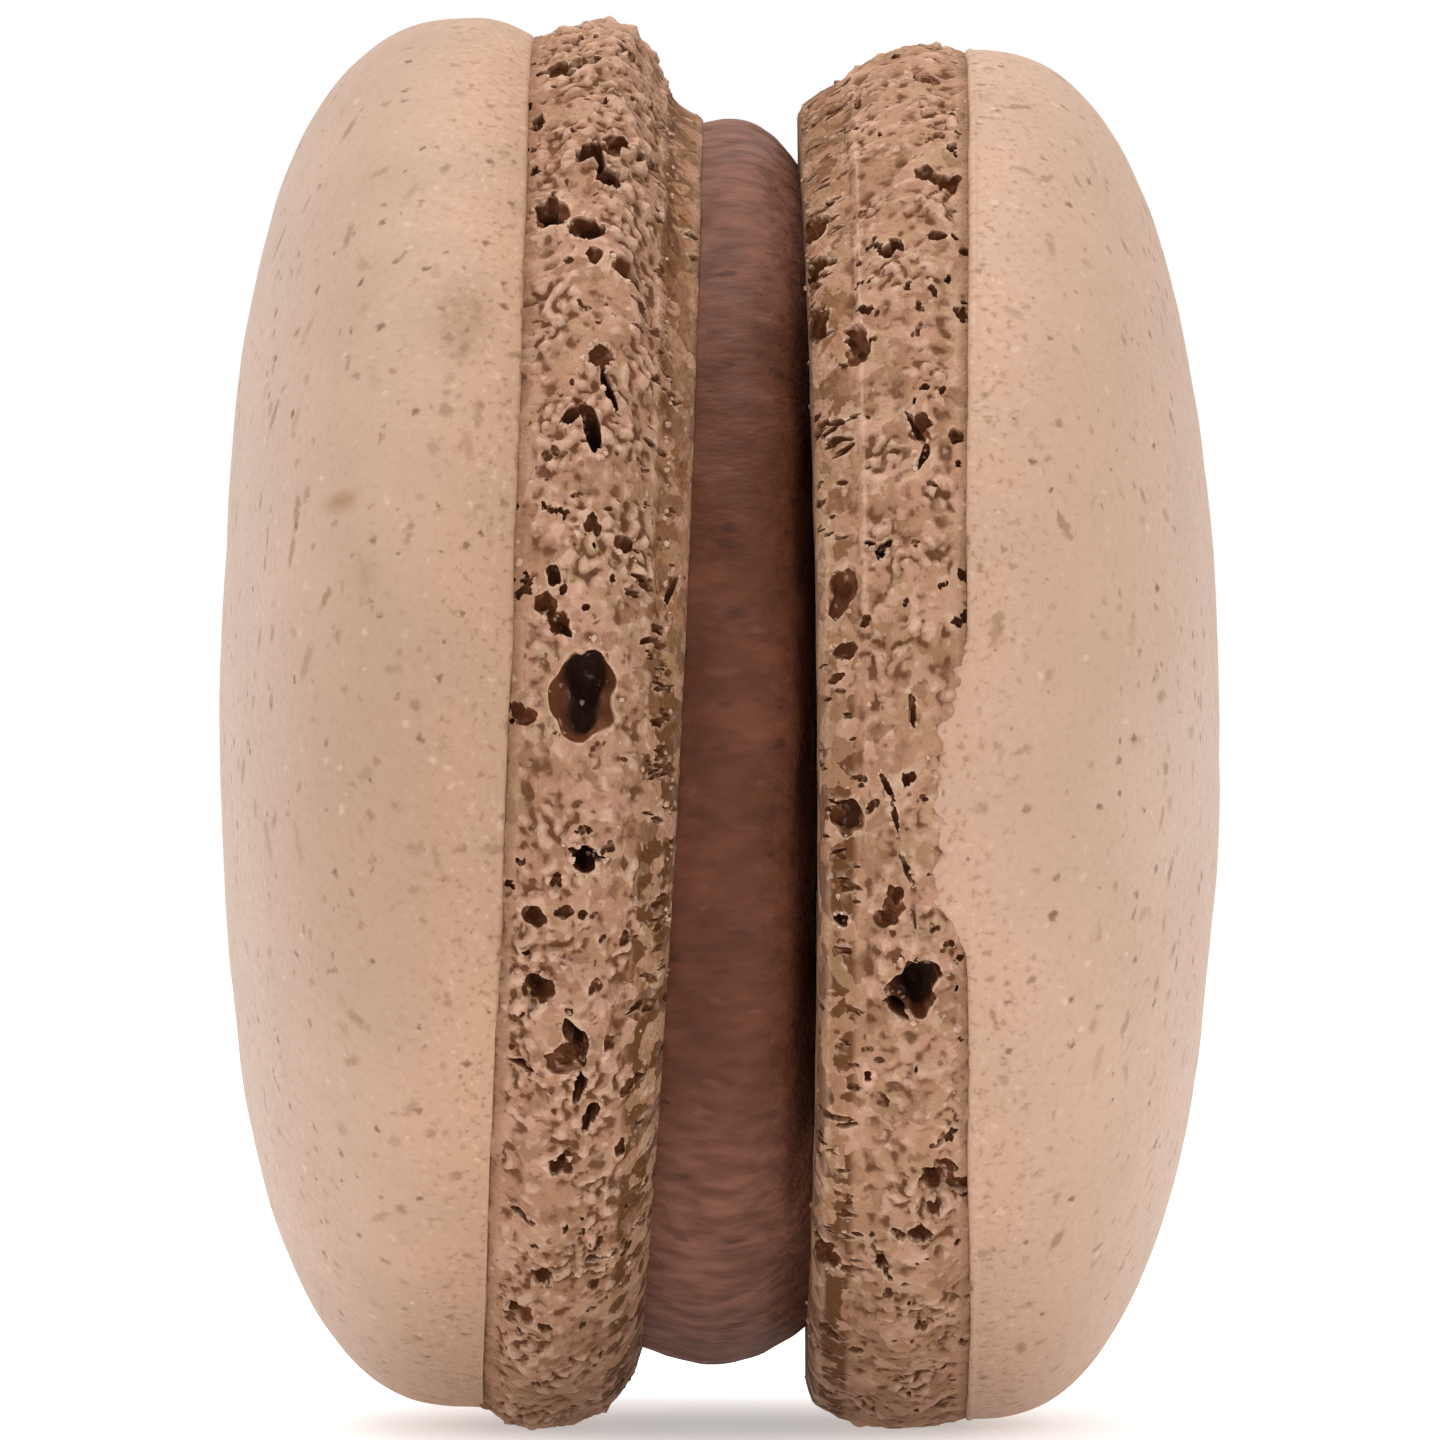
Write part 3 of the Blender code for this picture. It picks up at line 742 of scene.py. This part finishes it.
def grain_places(shell, draw):
    """Angle and X of every loose grain: round the main holes, along the edge at the filling, and anywhere."""
    for angle, x, half_width, half_length, _, slant in shell.caverns:
        for _ in range(RIM_GRAINS):
            turn, lean = draw.uniform(0, math.tau), math.radians(slant)
            across = half_width * RIM_REACH * math.cos(turn)
            along = half_length * RIM_REACH * math.sin(turn)
            rim_x = across * math.cos(lean) - along * math.sin(lean)
            round_way = across * math.sin(lean) + along * math.cos(lean)
            yield angle + math.degrees(round_way * MM / shell.radius), (x + rim_x) * MM
    for count, low, high in ((EDGE_GRAINS, 0.96, 1.0), (STRAY_GRAINS, 0.03, 0.96)):
        for _ in range(count):
            yield draw.uniform(0, 360), mix(shell.edge[0], shell.base[0], draw.uniform(low, high))


def make_grains(shell, foot, mould, material):
    """Small pale grains of crumb, half sunk in the foot where they landed."""
    ground = surface_tree(foot)
    draw = random.Random(shell.seed + 1)
    grains = []
    for angle, x in grain_places(shell, draw):
        place, out = foot_place(shell, angle, x)
        hit = ground.ray_cast(place + out * 2 * MM, -out)[0]
        size = mix(SMALLEST_GRAIN, LARGEST_GRAIN, draw.random() ** 2)
        if hit is None or hit.z < 2 * size:
            continue
        mesh = mould.data.copy()
        for vertex in mesh.vertices:
            vertex.co *= size * draw.uniform(0.6, 1.4)
        mesh.transform(Matrix.Translation(hit))
        grains.append(bpy.data.objects.new(f"{shell.name}_grains", mesh))
        bpy.context.scene.collection.objects.link(grains[-1])
    pick(grains[0])
    for grain in grains:
        grain.select_set(True)
    bpy.ops.object.join()
    joined = bpy.context.object
    joined.name = f"{shell.name}_grains"
    keep_values(joined, "share", np.full(len(joined.data.vertices), 0.5))  # coloured as in the foot's middle
    shade_smooth(joined, 60)
    finish_piece(joined, f"{shell.name}_shell", material)


def crown_radius(share, lift):
    return outline_radius(CROWN_LOW, CROWN_HIGH, share, lift)


def make_filling(material):
    """The disc of chocolate filling, its crown bulging out between the shells."""
    left_x, right_x = LEFT.base[0] - FILLING_PRESS, RIGHT.base[0] + FILLING_PRESS
    outline = [(left_x, 0.0), (left_x, CREAM_FACE)]
    for step in range(CROWN_STEPS + 1):
        share = step / CROWN_STEPS
        outline.append((mix(left_x, right_x, share), float(crown_radius(share, 0.0))))
    outline += [(right_x, CREAM_FACE), (right_x, 0.0)]
    filling = turn_outline("cream_filling", outline, FILLING_AXIS_Z, FILLING_TURN_STEPS)
    x, y, z = points_of(filling).T
    up = z - FILLING_AXIS_Z
    radius = np.hypot(y, up)
    lift = up / np.maximum(radius, 1e-9)
    share = (x - left_x) / (right_x - left_x)
    groove = GROOVE_DEPTH * smooth_step(0.8, 1.0, share) * smooth_step(0.85, 0.45, np.abs(lift))
    grow = (crown_radius(share, lift) - groove) / crown_radius(share, 0 * lift)
    y, up = y * grow, up * grow
    z = FILLING_AXIS_Z + up
    start = leaning_x(LEFT.base, y, z, LEFT) - FILLING_PRESS
    end = leaning_x(RIGHT.base, y, z, RIGHT) + FILLING_PRESS
    set_points(filling, np.stack([mix(start, end, share), y, z], axis=1))
    weigh(filling, "crown", smooth_step(*CROWN_FROM, radius))
    add_relief(filling, "smear", SMEAR_SIZE, SMEAR_HEIGHT, "crown")
    add_relief(filling, "ripple", RIPPLE_SIZE, RIPPLE_HEIGHT, "crown")
    apply_modifiers(filling)
    # Painted sheen: the crown is painted lighter and mauve at its top and bottom, where its satin catches the
    # light.
    top_sheen = TOP_PAINTED_SHEEN * smooth_step(0.42, 1.0, lift)
    keep_values(filling, "painted_sheen", np.maximum(top_sheen, smooth_step(-0.3, -1.0, lift)))
    shade_smooth(filling, 50)
    finish_piece(filling, "filling", material)


# Linear colours of the skins: for each shell the tan of its dome, and that of its rim.
LEFT_TANS = ((0.358, 0.234, 0.164), (0.40, 0.225, 0.126))
RIGHT_TANS = ((0.41, 0.265, 0.184), (0.41, 0.246, 0.159))
# Painted sheen: the light grey the dome is painted towards its tip, in place of the surround's grazing
# reflection.
PAINTED_TIP_SHEEN = (0.45, 0.34, 0.28)
SKIN_CLOUD = (0.49, 0.314, 0.232)
SKIN_STAIN = (0.24, 0.125, 0.06)
# Painted shade in the skin's fine pits, and a painted highlight on its small grains, strongest near the rim.
SKIN_PIT_SHADE = (0.23, 0.115, 0.06)
SKIN_GRAIN_HIGHLIGHT = (0.62, 0.43, 0.32)
PALE_DOT = (0.72, 0.54, 0.43)
COCOA_STROKE = (0.21, 0.108, 0.052)
COCOA_DOT = (0.145, 0.068, 0.032)

# Of the crumb: for each foot and for the loose grains, the open part and the strip at the filling.
LEFT_CRUMBS = ((0.335, 0.175, 0.106), (0.255, 0.117, 0.052))
RIGHT_CRUMBS = ((0.355, 0.19, 0.113), (0.255, 0.119, 0.054))
LOOSE_CRUMBS = ((0.55, 0.37, 0.27), (0.48, 0.31, 0.21))
CRUMB_CLOUD = (0.25, 0.13, 0.067)
ROSY_PATCH = (0.42, 0.225, 0.165)
OLIVE_PATCH = (0.35, 0.235, 0.13)
DARK_PATCH = (0.17, 0.077, 0.035)
LIGHT_PATCH = (0.50, 0.315, 0.23)
BROWNED_PATCH = (0.1, 0.037, 0.011)
# Painted shade on the foot just under the skin's edge.
SEAM_SHADE = (0.2, 0.1, 0.052)
# Painted highlight on the crumb's lumps and rims.
CREST_HIGHLIGHT = (0.64, 0.43, 0.32)
# Painted shade in the creases between lumps, with the crumb's darker inside.
CREASE_SHADE = (0.105, 0.037, 0.014)
# Painted shade on the walls and floors of the holes, by how deep they lie.
HOLE_WALL_SHADE = (0.12, 0.036, 0.012)
HOLE_FLOOR_SHADE = (0.035, 0.014, 0.008)
PALE_PORE = (0.72, 0.52, 0.40)
# Painted shade: dark dots that stand for tiny pores.
PORE_SHADE = (0.10, 0.037, 0.015)

# Of the filling.
DARK_CREAM = (0.078, 0.0225, 0.0085)
LIGHT_CREAM = (0.125, 0.0405, 0.02)
# Painted sheen at the top and bottom of the filling's crown.
CREAM_PAINTED_SHEEN = (0.25, 0.112, 0.075)
CREAM_WRINKLE = (0.055, 0.016, 0.007)
PALE_PIT = (0.24, 0.11, 0.08)
# Painted shade: dark dots that stand for the filling's small pits.
PIT_SHADE = (0.03, 0.009, 0.005)

WANDER_SCALE = 5200.0
STROKE_LEAN = (0.12, 0, 0.45)
WRINKLE_STRETCH = (0.38, 1.0, 1.0)


class NodeTree:
    """Adds nodes to a material or a group. An input is a number, a colour or another node's output."""

    def __init__(self, tree):
        self.tree = tree

    def feed(self, node, inputs):
        for name, value in inputs.items():
            socket = node.inputs[name]
            if isinstance(value, bpy.types.NodeSocket):
                self.tree.links.new(value, socket)
            else:
                socket.default_value = (*value, 1.0) if socket.type == "RGBA" else value
        return node.outputs

    def add(self, kind, inputs=None, **settings):
        node = self.tree.nodes.new("ShaderNode" + kind)
        for name, value in settings.items():
            setattr(node, name, value)
        return self.feed(node, inputs or {})

    def group(self, shared, **inputs):
        node = self.tree.nodes.new("ShaderNodeGroup")
        node.node_tree = shared
        return self.feed(node, inputs)

    def math(self, operation, first, second=0.0):
        return self.add("Math", {0: first, 1: second}, operation=operation)[0]

    def times(self, first, second):
        return self.math("MULTIPLY", first, second)

    def vector(self, operation, first, second=(0.0, 0.0, 0.0)):
        return self.add("VectorMath", {0: first, 1: second}, operation=operation)

    def ramp(self, value, low, high, to_low=0.0, to_high=1.0):
        """Carries a value from low to high smoothly over to another range."""
        inputs = {"Value": value, "From Min": low, "From Max": high, "To Min": to_low, "To Max": to_high}
        return self.add("MapRange", inputs, interpolation_type="SMOOTHSTEP")["Result"]

    def blend(self, share, first, second):
        inputs = {"Factor": share, 6: first, 7: second}
        return self.add("Mix", inputs, data_type="RGBA")[2]

    def layers(self, colour, *layers):
        """Lays colours over one another in turn, each with the share of the surface that it covers."""
        for share, tint in layers:
            colour = self.blend(share, colour, tint)
        return colour

    def attribute(self, name):
        return self.add("Attribute", attribute_name=name)["Fac"]


def new_group(name, inputs, outputs):
    """An empty shared group with named sockets, its input node's outputs, and its output node."""
    tree = bpy.data.node_groups.new(name, "ShaderNodeTree")
    for socket, kind in inputs.items():
        tree.interface.new_socket(name=socket, in_out="INPUT", socket_type="NodeSocket" + kind)
    for socket, kind in outputs.items():
        tree.interface.new_socket(name=socket, in_out="OUTPUT", socket_type="NodeSocket" + kind)
    return tree, tree.nodes.new("NodeGroupInput").outputs, tree.nodes.new("NodeGroupOutput")


def make_wander_group():
    """Coordinates that stray a little from the true ones, so that what is drawn on them is ragged."""
    tree, given, result = new_group("wander", {"Vector": "Vector", "Reach": "Float"}, {"Vector": "Vector"})
    nodes = NodeTree(tree)
    cloud = nodes.add("TexNoise", {"Vector": given["Vector"], "Scale": WANDER_SCALE, "Detail": 0.0})["Color"]
    centred = nodes.vector("SUBTRACT", cloud, (0.5, 0.5, 0.5))[0]
    moved = nodes.add("VectorMath", {0: centred, "Scale": given["Reach"]}, operation="SCALE")[0]
    strayed = nodes.vector("ADD", given["Vector"], moved)[0]
    tree.links.new(strayed, result.inputs["Vector"])
    return tree


def make_flecks_group():
    """Scattered flecks: a share of the cells of a pattern hold one each, drawn out in its own direction.

    Size is the largest radius in metres. Length is 0 for round flecks, and near 1 for long strokes.
    Lean is the way that most of them are drawn out. Dark marks the flecks, and Pale as many others.
    """
    inputs = dict.fromkeys(("Scale", "Share", "Size", "Length"), "Float")
    inputs.update(dict.fromkeys(("Vector", "Lean"), "Vector"))
    tree, given, result = new_group("flecks", inputs, {"Dark": "Float", "Pale": "Float"})
    nodes = NodeTree(tree)
    cells = nodes.add("TexVoronoi", {"Vector": given["Vector"], "Scale": given["Scale"]})
    chance = nodes.add("SeparateColor", {"Color": cells["Color"]})
    lot = nodes.add("TexWhiteNoise", {"Vector": cells["Position"]})["Color"]
    centred = nodes.vector("SUBTRACT", lot, (0.5, 0.5, 0.5))[0]
    leaning = nodes.vector("ADD", centred, given["Lean"])[0]
    way = nodes.vector("NORMALIZE", leaning)[0]
    away = nodes.vector("SUBTRACT", given["Vector"], cells["Position"])[0]
    along = nodes.vector("DOT_PRODUCT", away, way)["Value"]
    square = nodes.vector("DOT_PRODUCT", away, away)["Value"]
    drawn = nodes.times(nodes.times(along, along), given["Length"])
    far = nodes.math("SQRT", nodes.math("MAXIMUM", nodes.math("SUBTRACT", square, drawn), 0.0))
    size = nodes.times(given["Size"], nodes.ramp(chance[2], 0.0, 1.0, 0.45, 1.0))
    shape = nodes.ramp(nodes.math("DIVIDE", far, size), 1.0, 0.3)
    faint = nodes.times(shape, nodes.ramp(chance[1], 0.0, 1.0, 0.4, 1.0))
    for name, operation, limit in (
        ("Dark", "LESS_THAN", given["Share"]),
        ("Pale", "GREATER_THAN", nodes.math("SUBTRACT", 1.0, given["Share"])),
    ):
        held = nodes.math(operation, chance[0], limit)
        tree.links.new(nodes.times(faint, held), result.inputs[name])
    return tree


def make_facets_group():
    """Patches with crisp edges, each with a tone and a hue of its own between 0 and 1."""
    inputs = {"Vector": "Vector", "Scale": "Float"}
    tree, given, result = new_group("facets", inputs, {"Tone": "Float", "Hue": "Float"})
    nodes = NodeTree(tree)
    cells = nodes.add("TexVoronoi", {"Vector": given["Vector"], "Scale": given["Scale"]})
    lots = nodes.add("SeparateColor", {"Color": cells["Color"]})
    tree.links.new(lots[0], result.inputs["Tone"])
    tree.links.new(lots[1], result.inputs["Hue"])
    return tree


def make_mottle_group():
    """Soft cloudy variation between 0 and 1, and a fine grain for the bump."""
    inputs = {"Vector": "Vector", "Scale": "Float", "Grain": "Float"}
    tree, given, result = new_group("mottle", inputs, {"Clouds": "Float", "Grain": "Float"})
    nodes = NodeTree(tree)
    clouds = nodes.add("TexNoise", {"Vector": given["Vector"], "Scale": given["Scale"], "Detail": 2.0})["Fac"]
    grain = nodes.add("TexNoise", {"Vector": given["Vector"], "Scale": given["Grain"], "Detail": 2.0})["Fac"]
    tree.links.new(nodes.ramp(clouds, 0.3, 0.7), result.inputs["Clouds"])
    tree.links.new(grain, result.inputs["Grain"])
    return tree


def new_material(name):
    material = bpy.data.materials.new(name)
    material.use_nodes = True
    return material, NodeTree(material.node_tree), material.node_tree.nodes["Principled BSDF"]


def connect(nodes, shader, colour, roughness, height, distance, strength, shine):
    """Feeds the shader its colour, roughness and bump, and sets its shine."""
    shader.inputs["Specular IOR Level"].default_value = shine
    bump = nodes.add("Bump", {"Height": height, "Distance": distance, "Strength": strength})["Normal"]
    for value, socket in ((colour, "Base Color"), (roughness, "Roughness"), (bump, "Normal")):
        nodes.tree.links.new(value, shader.inputs[socket])


def make_skin_material(name, groups, tans):
    """Satin baked skin: cocoa tan, browner at the rim, with a painted sheen that turns it lighter and greyer
    towards the tip, painted shade in its fine pits and painted highlights on its grain near the rim, and
    flecked with cocoa all over.
    """
    material, nodes, shader = new_material(name)
    here = nodes.add("TexCoord")["Object"]
    strayed = nodes.group(groups["wander"], Vector=here, Reach=0.00022)["Vector"]
    mottle = nodes.group(groups["mottle"], Vector=here, Scale=230.0, Grain=4200.0)
    flecks = groups["flecks"]
    strokes = nodes.group(
        flecks, Vector=strayed, Scale=900.0, Share=0.7, Size=0.0003, Length=0.93, Lean=STROKE_LEAN
    )
    dots = nodes.group(flecks, Vector=strayed, Scale=1500.0, Share=0.45, Size=0.0002, Length=0.4)
    from_edge = nodes.attribute("from_edge")
    rim = nodes.ramp(from_edge, 0.1, 4.5, 1.0, 0.0)
    browned = nodes.times(rim, nodes.ramp(mottle["Clouds"], 0.0, 1.0, 0.45, 1.0))
    stained = nodes.times(nodes.attribute("stain"), nodes.ramp(mottle["Clouds"], 0.0, 1.0, 0.5, 1.0))
    # painted shade in fine pits and painted highlights on the grain between them, strongest near the rim
    near_rim_relief = nodes.ramp(from_edge, 3.5, 0.5, 0.15, 0.6)
    pit_shade = nodes.times(nodes.ramp(mottle["Grain"], 0.55, 0.72), near_rim_relief)
    grain_highlight = nodes.times(nodes.ramp(mottle["Grain"], 0.42, 0.25), nodes.times(near_rim_relief, 0.5))
    colour = nodes.layers(
        nodes.blend(browned, *tans),
        # painted sheen, lighter and greyer towards the dome's tip
        (nodes.ramp(from_edge, 4.5, 9.0, 0.0, 0.55), PAINTED_TIP_SHEEN),
        (nodes.times(mottle["Clouds"], 0.3), SKIN_CLOUD),
        (nodes.times(stained, 0.9), SKIN_STAIN),
        # painted pit shade, then painted grain highlights
        (pit_shade, SKIN_PIT_SHADE),
        (grain_highlight, SKIN_GRAIN_HIGHLIGHT),
        (nodes.times(dots["Pale"], 0.25), PALE_DOT),
        (nodes.times(strokes["Dark"], 0.7), COCOA_STROKE),
        (nodes.times(dots["Dark"], 0.9), COCOA_DOT),
    )
    roughness = nodes.ramp(mottle["Grain"], 0.2, 0.8, 0.5, 0.66)
    connect(nodes, shader, colour, roughness, mottle["Grain"], 0.00006, 0.6, 0.3)
    return material


def make_foot_material(name, groups, crumbs):
    """Rough open crumb: painted highlights on its lumps and high edges, and painted shade in its creases,
    under the skin's edge, down in its holes and in dark dots for its pores.
    """
    material, nodes, shader = new_material(name)
    here = nodes.add("TexCoord")["Object"]
    strayed = nodes.group(groups["wander"], Vector=here, Reach=0.00022)["Vector"]
    mottle = nodes.group(groups["mottle"], Vector=here, Scale=420.0, Grain=5200.0)
    facets = nodes.group(groups["facets"], Vector=strayed, Scale=1500.0)
    pores = nodes.group(groups["flecks"], Vector=strayed, Scale=2300.0, Share=0.6, Size=0.00015, Length=0.6)
    height = nodes.add("SeparateXYZ", {"Vector": here})["Z"]
    share = nodes.attribute("share")
    hollow = nodes.attribute("hollow")
    depth = nodes.attribute("depth")
    tucked = nodes.ramp(share, 0.74, 0.80)
    browned = nodes.times(tucked, nodes.ramp(facets["Tone"], 0.6, 0.42))
    browned = nodes.times(browned, nodes.ramp(height, 0.026, 0.021, 0.45, 0.95))
    # painted highlight on lumps and rims, where the surface stands above its smoothed form
    painted_highlight = nodes.times(nodes.ramp(hollow, -0.015, -0.06), nodes.ramp(share, 0.92, 0.98, 0.35, 0.1))
    painted_highlight = nodes.times(painted_highlight, nodes.ramp(share, 0.03, 0.12))
    colour = nodes.layers(
        nodes.blend(tucked, *crumbs),
        (nodes.times(mottle["Clouds"], 0.65), CRUMB_CLOUD),
        (nodes.ramp(facets["Hue"], 0.4, 0.0, 0.0, 0.4), ROSY_PATCH),
        (nodes.ramp(facets["Hue"], 0.6, 1.0, 0.0, 0.4), OLIVE_PATCH),
        (nodes.ramp(facets["Tone"], 0.0, 0.45, 0.5, 0.0), DARK_PATCH),
        (nodes.ramp(facets["Tone"], 0.6, 1.0, 0.0, 0.3), LIGHT_PATCH),
        (browned, BROWNED_PATCH),
        # painted shade under the skin's edge
        (nodes.ramp(share, 0.09, 0.0, 0.0, 0.55), SEAM_SHADE),
        (painted_highlight, CREST_HIGHLIGHT),
        # painted shade in the creases
        (nodes.ramp(hollow, 0.0, 0.04, 0.0, 0.9), CREASE_SHADE),
        # painted shade down in the holes
        (nodes.ramp(depth, 0.04, 0.25, 0.0, 0.9), HOLE_WALL_SHADE),
        (nodes.ramp(depth, 0.4, 1.1), HOLE_FLOOR_SHADE),
        (nodes.times(pores["Pale"], 0.35), PALE_PORE),
        # dark dots of painted shade for tiny pores
        (nodes.times(pores["Dark"], 0.9), PORE_SHADE),
    )
    roughness = nodes.ramp(mottle["Grain"], 0.2, 0.8, 0.7, 0.9)
    connect(nodes, shader, colour, roughness, mottle["Grain"], 0.00014, 0.9, 0.12)
    return material


def make_filling_material(name, groups):
    """Set chocolate cream: satin brown with fine wrinkles drawn across it, dark dots of painted shade for
    small pits, and a painted mauve sheen at the top and bottom of its crown.
    """
    material, nodes, shader = new_material(name)
    here = nodes.add("TexCoord")["Object"]
    drawn = nodes.add("Mapping", {"Vector": here, "Scale": WRINKLE_STRETCH})[0]
    strayed = nodes.group(groups["wander"], Vector=drawn, Reach=0.0002)["Vector"]
    mottle = nodes.group(groups["mottle"], Vector=here, Scale=260.0, Grain=5200.0)
    wrinkles = nodes.group(groups["mottle"], Vector=drawn, Scale=1700.0, Grain=4200.0)
    pits = nodes.group(groups["flecks"], Vector=strayed, Scale=1500.0, Share=0.4, Size=0.00024, Length=0.5)
    colour = nodes.layers(
        nodes.blend(mottle["Clouds"], DARK_CREAM, LIGHT_CREAM),
        # painted mauve sheen at the crown's top and bottom
        (nodes.ramp(nodes.attribute("painted_sheen"), 0.0, 1.0, 0.0, 0.75), CREAM_PAINTED_SHEEN),
        (nodes.times(wrinkles["Clouds"], 0.6), CREAM_WRINKLE),
        (nodes.times(pits["Pale"], 0.3), PALE_PIT),
        # dark dots of painted shade for small pits
        (nodes.times(pits["Dark"], 0.75), PIT_SHADE),
    )
    roughness = nodes.ramp(wrinkles["Grain"], 0.2, 0.8, 0.5, 0.7)
    connect(nodes, shader, colour, roughness, wrinkles["Grain"], 0.0001, 0.9, 0.15)
    return material


# The studio.
CAMERA_DISTANCE = 450 * MM
VIEW_WIDTH = 46.08 * MM
VIEW_HEIGHT = 22.53 * MM
SENSOR = 36.0
FLOOR_SIZE = 1.6
FLOOR_GLOW = 0.4
LIGHT_AIM = (0, 0, 0.02)
KEY_PLACE = (-0.05, -0.05, 0.5)
KEY_SIZE = 0.4
KEY_POWER = 2.0


def make_camera():
    data = bpy.data.cameras.new("camera")
    data.sensor_width = SENSOR
    data.lens = SENSOR * CAMERA_DISTANCE / VIEW_WIDTH
    data.clip_start = 0.01
    data.clip_end = 10
    camera = bpy.data.objects.new("camera", data)
    camera.location = (0, -CAMERA_DISTANCE, VIEW_HEIGHT)
    camera.rotation_euler = (math.pi / 2, 0, 0)
    bpy.context.scene.collection.objects.link(camera)
    bpy.context.scene.camera = camera


def add_light(name, place, size, power):
    data = bpy.data.lights.new(name, "AREA")
    data.size = size
    data.energy = power
    light = bpy.data.objects.new(name, data)
    light.location = place
    light.rotation_euler = (Vector(LIGHT_AIM) - Vector(place)).to_track_quat("-Z", "Y").to_euler()
    bpy.context.scene.collection.objects.link(light)


def make_studio():
    """A pale floor that gives off a little light, as a lit table does, under soft light from all round."""
    bpy.ops.object.select_all(action="DESELECT")
    bpy.ops.mesh.primitive_plane_add(size=FLOOR_SIZE)
    floor = bpy.context.object
    floor.name = "floor"
    material, _, shader = new_material("pale_floor")
    shader.inputs["Base Color"].default_value = (0.9, 0.9, 0.9, 1.0)
    shader.inputs["Roughness"].default_value = 0.9
    shader.inputs["Emission Color"].default_value = (1.0, 1.0, 1.0, 1.0)
    shader.inputs["Emission Strength"].default_value = FLOOR_GLOW
    floor.data.materials.append(material)
    floor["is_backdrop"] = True
    world = bpy.data.worlds.new("studio")
    world.use_nodes = True
    world.node_tree.nodes["Background"].inputs["Color"].default_value = (1.0, 1.0, 1.0, 1.0)
    world.node_tree.nodes["Background"].inputs["Strength"].default_value = 1.0
    bpy.context.scene.world = world
    add_light("key", KEY_PLACE, KEY_SIZE, KEY_POWER)
    bpy.context.scene.view_settings.view_transform = "Standard"


def main():
    make_camera()
    make_studio()
    groups = {
        "wander": make_wander_group(),
        "flecks": make_flecks_group(),
        "facets": make_facets_group(),
        "mottle": make_mottle_group(),
    }
    left_skin = make_skin_material("left_skin", groups, LEFT_TANS)
    right_skin = make_skin_material("right_skin", groups, RIGHT_TANS)
    left_crumb = make_foot_material("left_crumb", groups, LEFT_CRUMBS)
    right_crumb = make_foot_material("right_crumb", groups, RIGHT_CRUMBS)
    loose_crumb = make_foot_material("loose_crumb", groups, LOOSE_CRUMBS)
    cream = make_filling_material("chocolate_cream", groups)
    moulds = make_bubble_moulds()
    for shell, skin, crumb in ((LEFT, left_skin, left_crumb), (RIGHT, right_skin, right_crumb)):
        make_skin(shell, skin)
        foot = make_foot(shell, moulds, crumb)
        make_grains(shell, foot, moulds[0], loose_crumb)
    for mould in moulds:
        bpy.data.objects.remove(mould)
    make_filling(cream)
    dressed_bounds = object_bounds()
    boxes = {"cad": cad_bounds, "dressed": dressed_bounds}
    {name: [list(corner) for corner in box] for name, box in boxes.items()}


main()
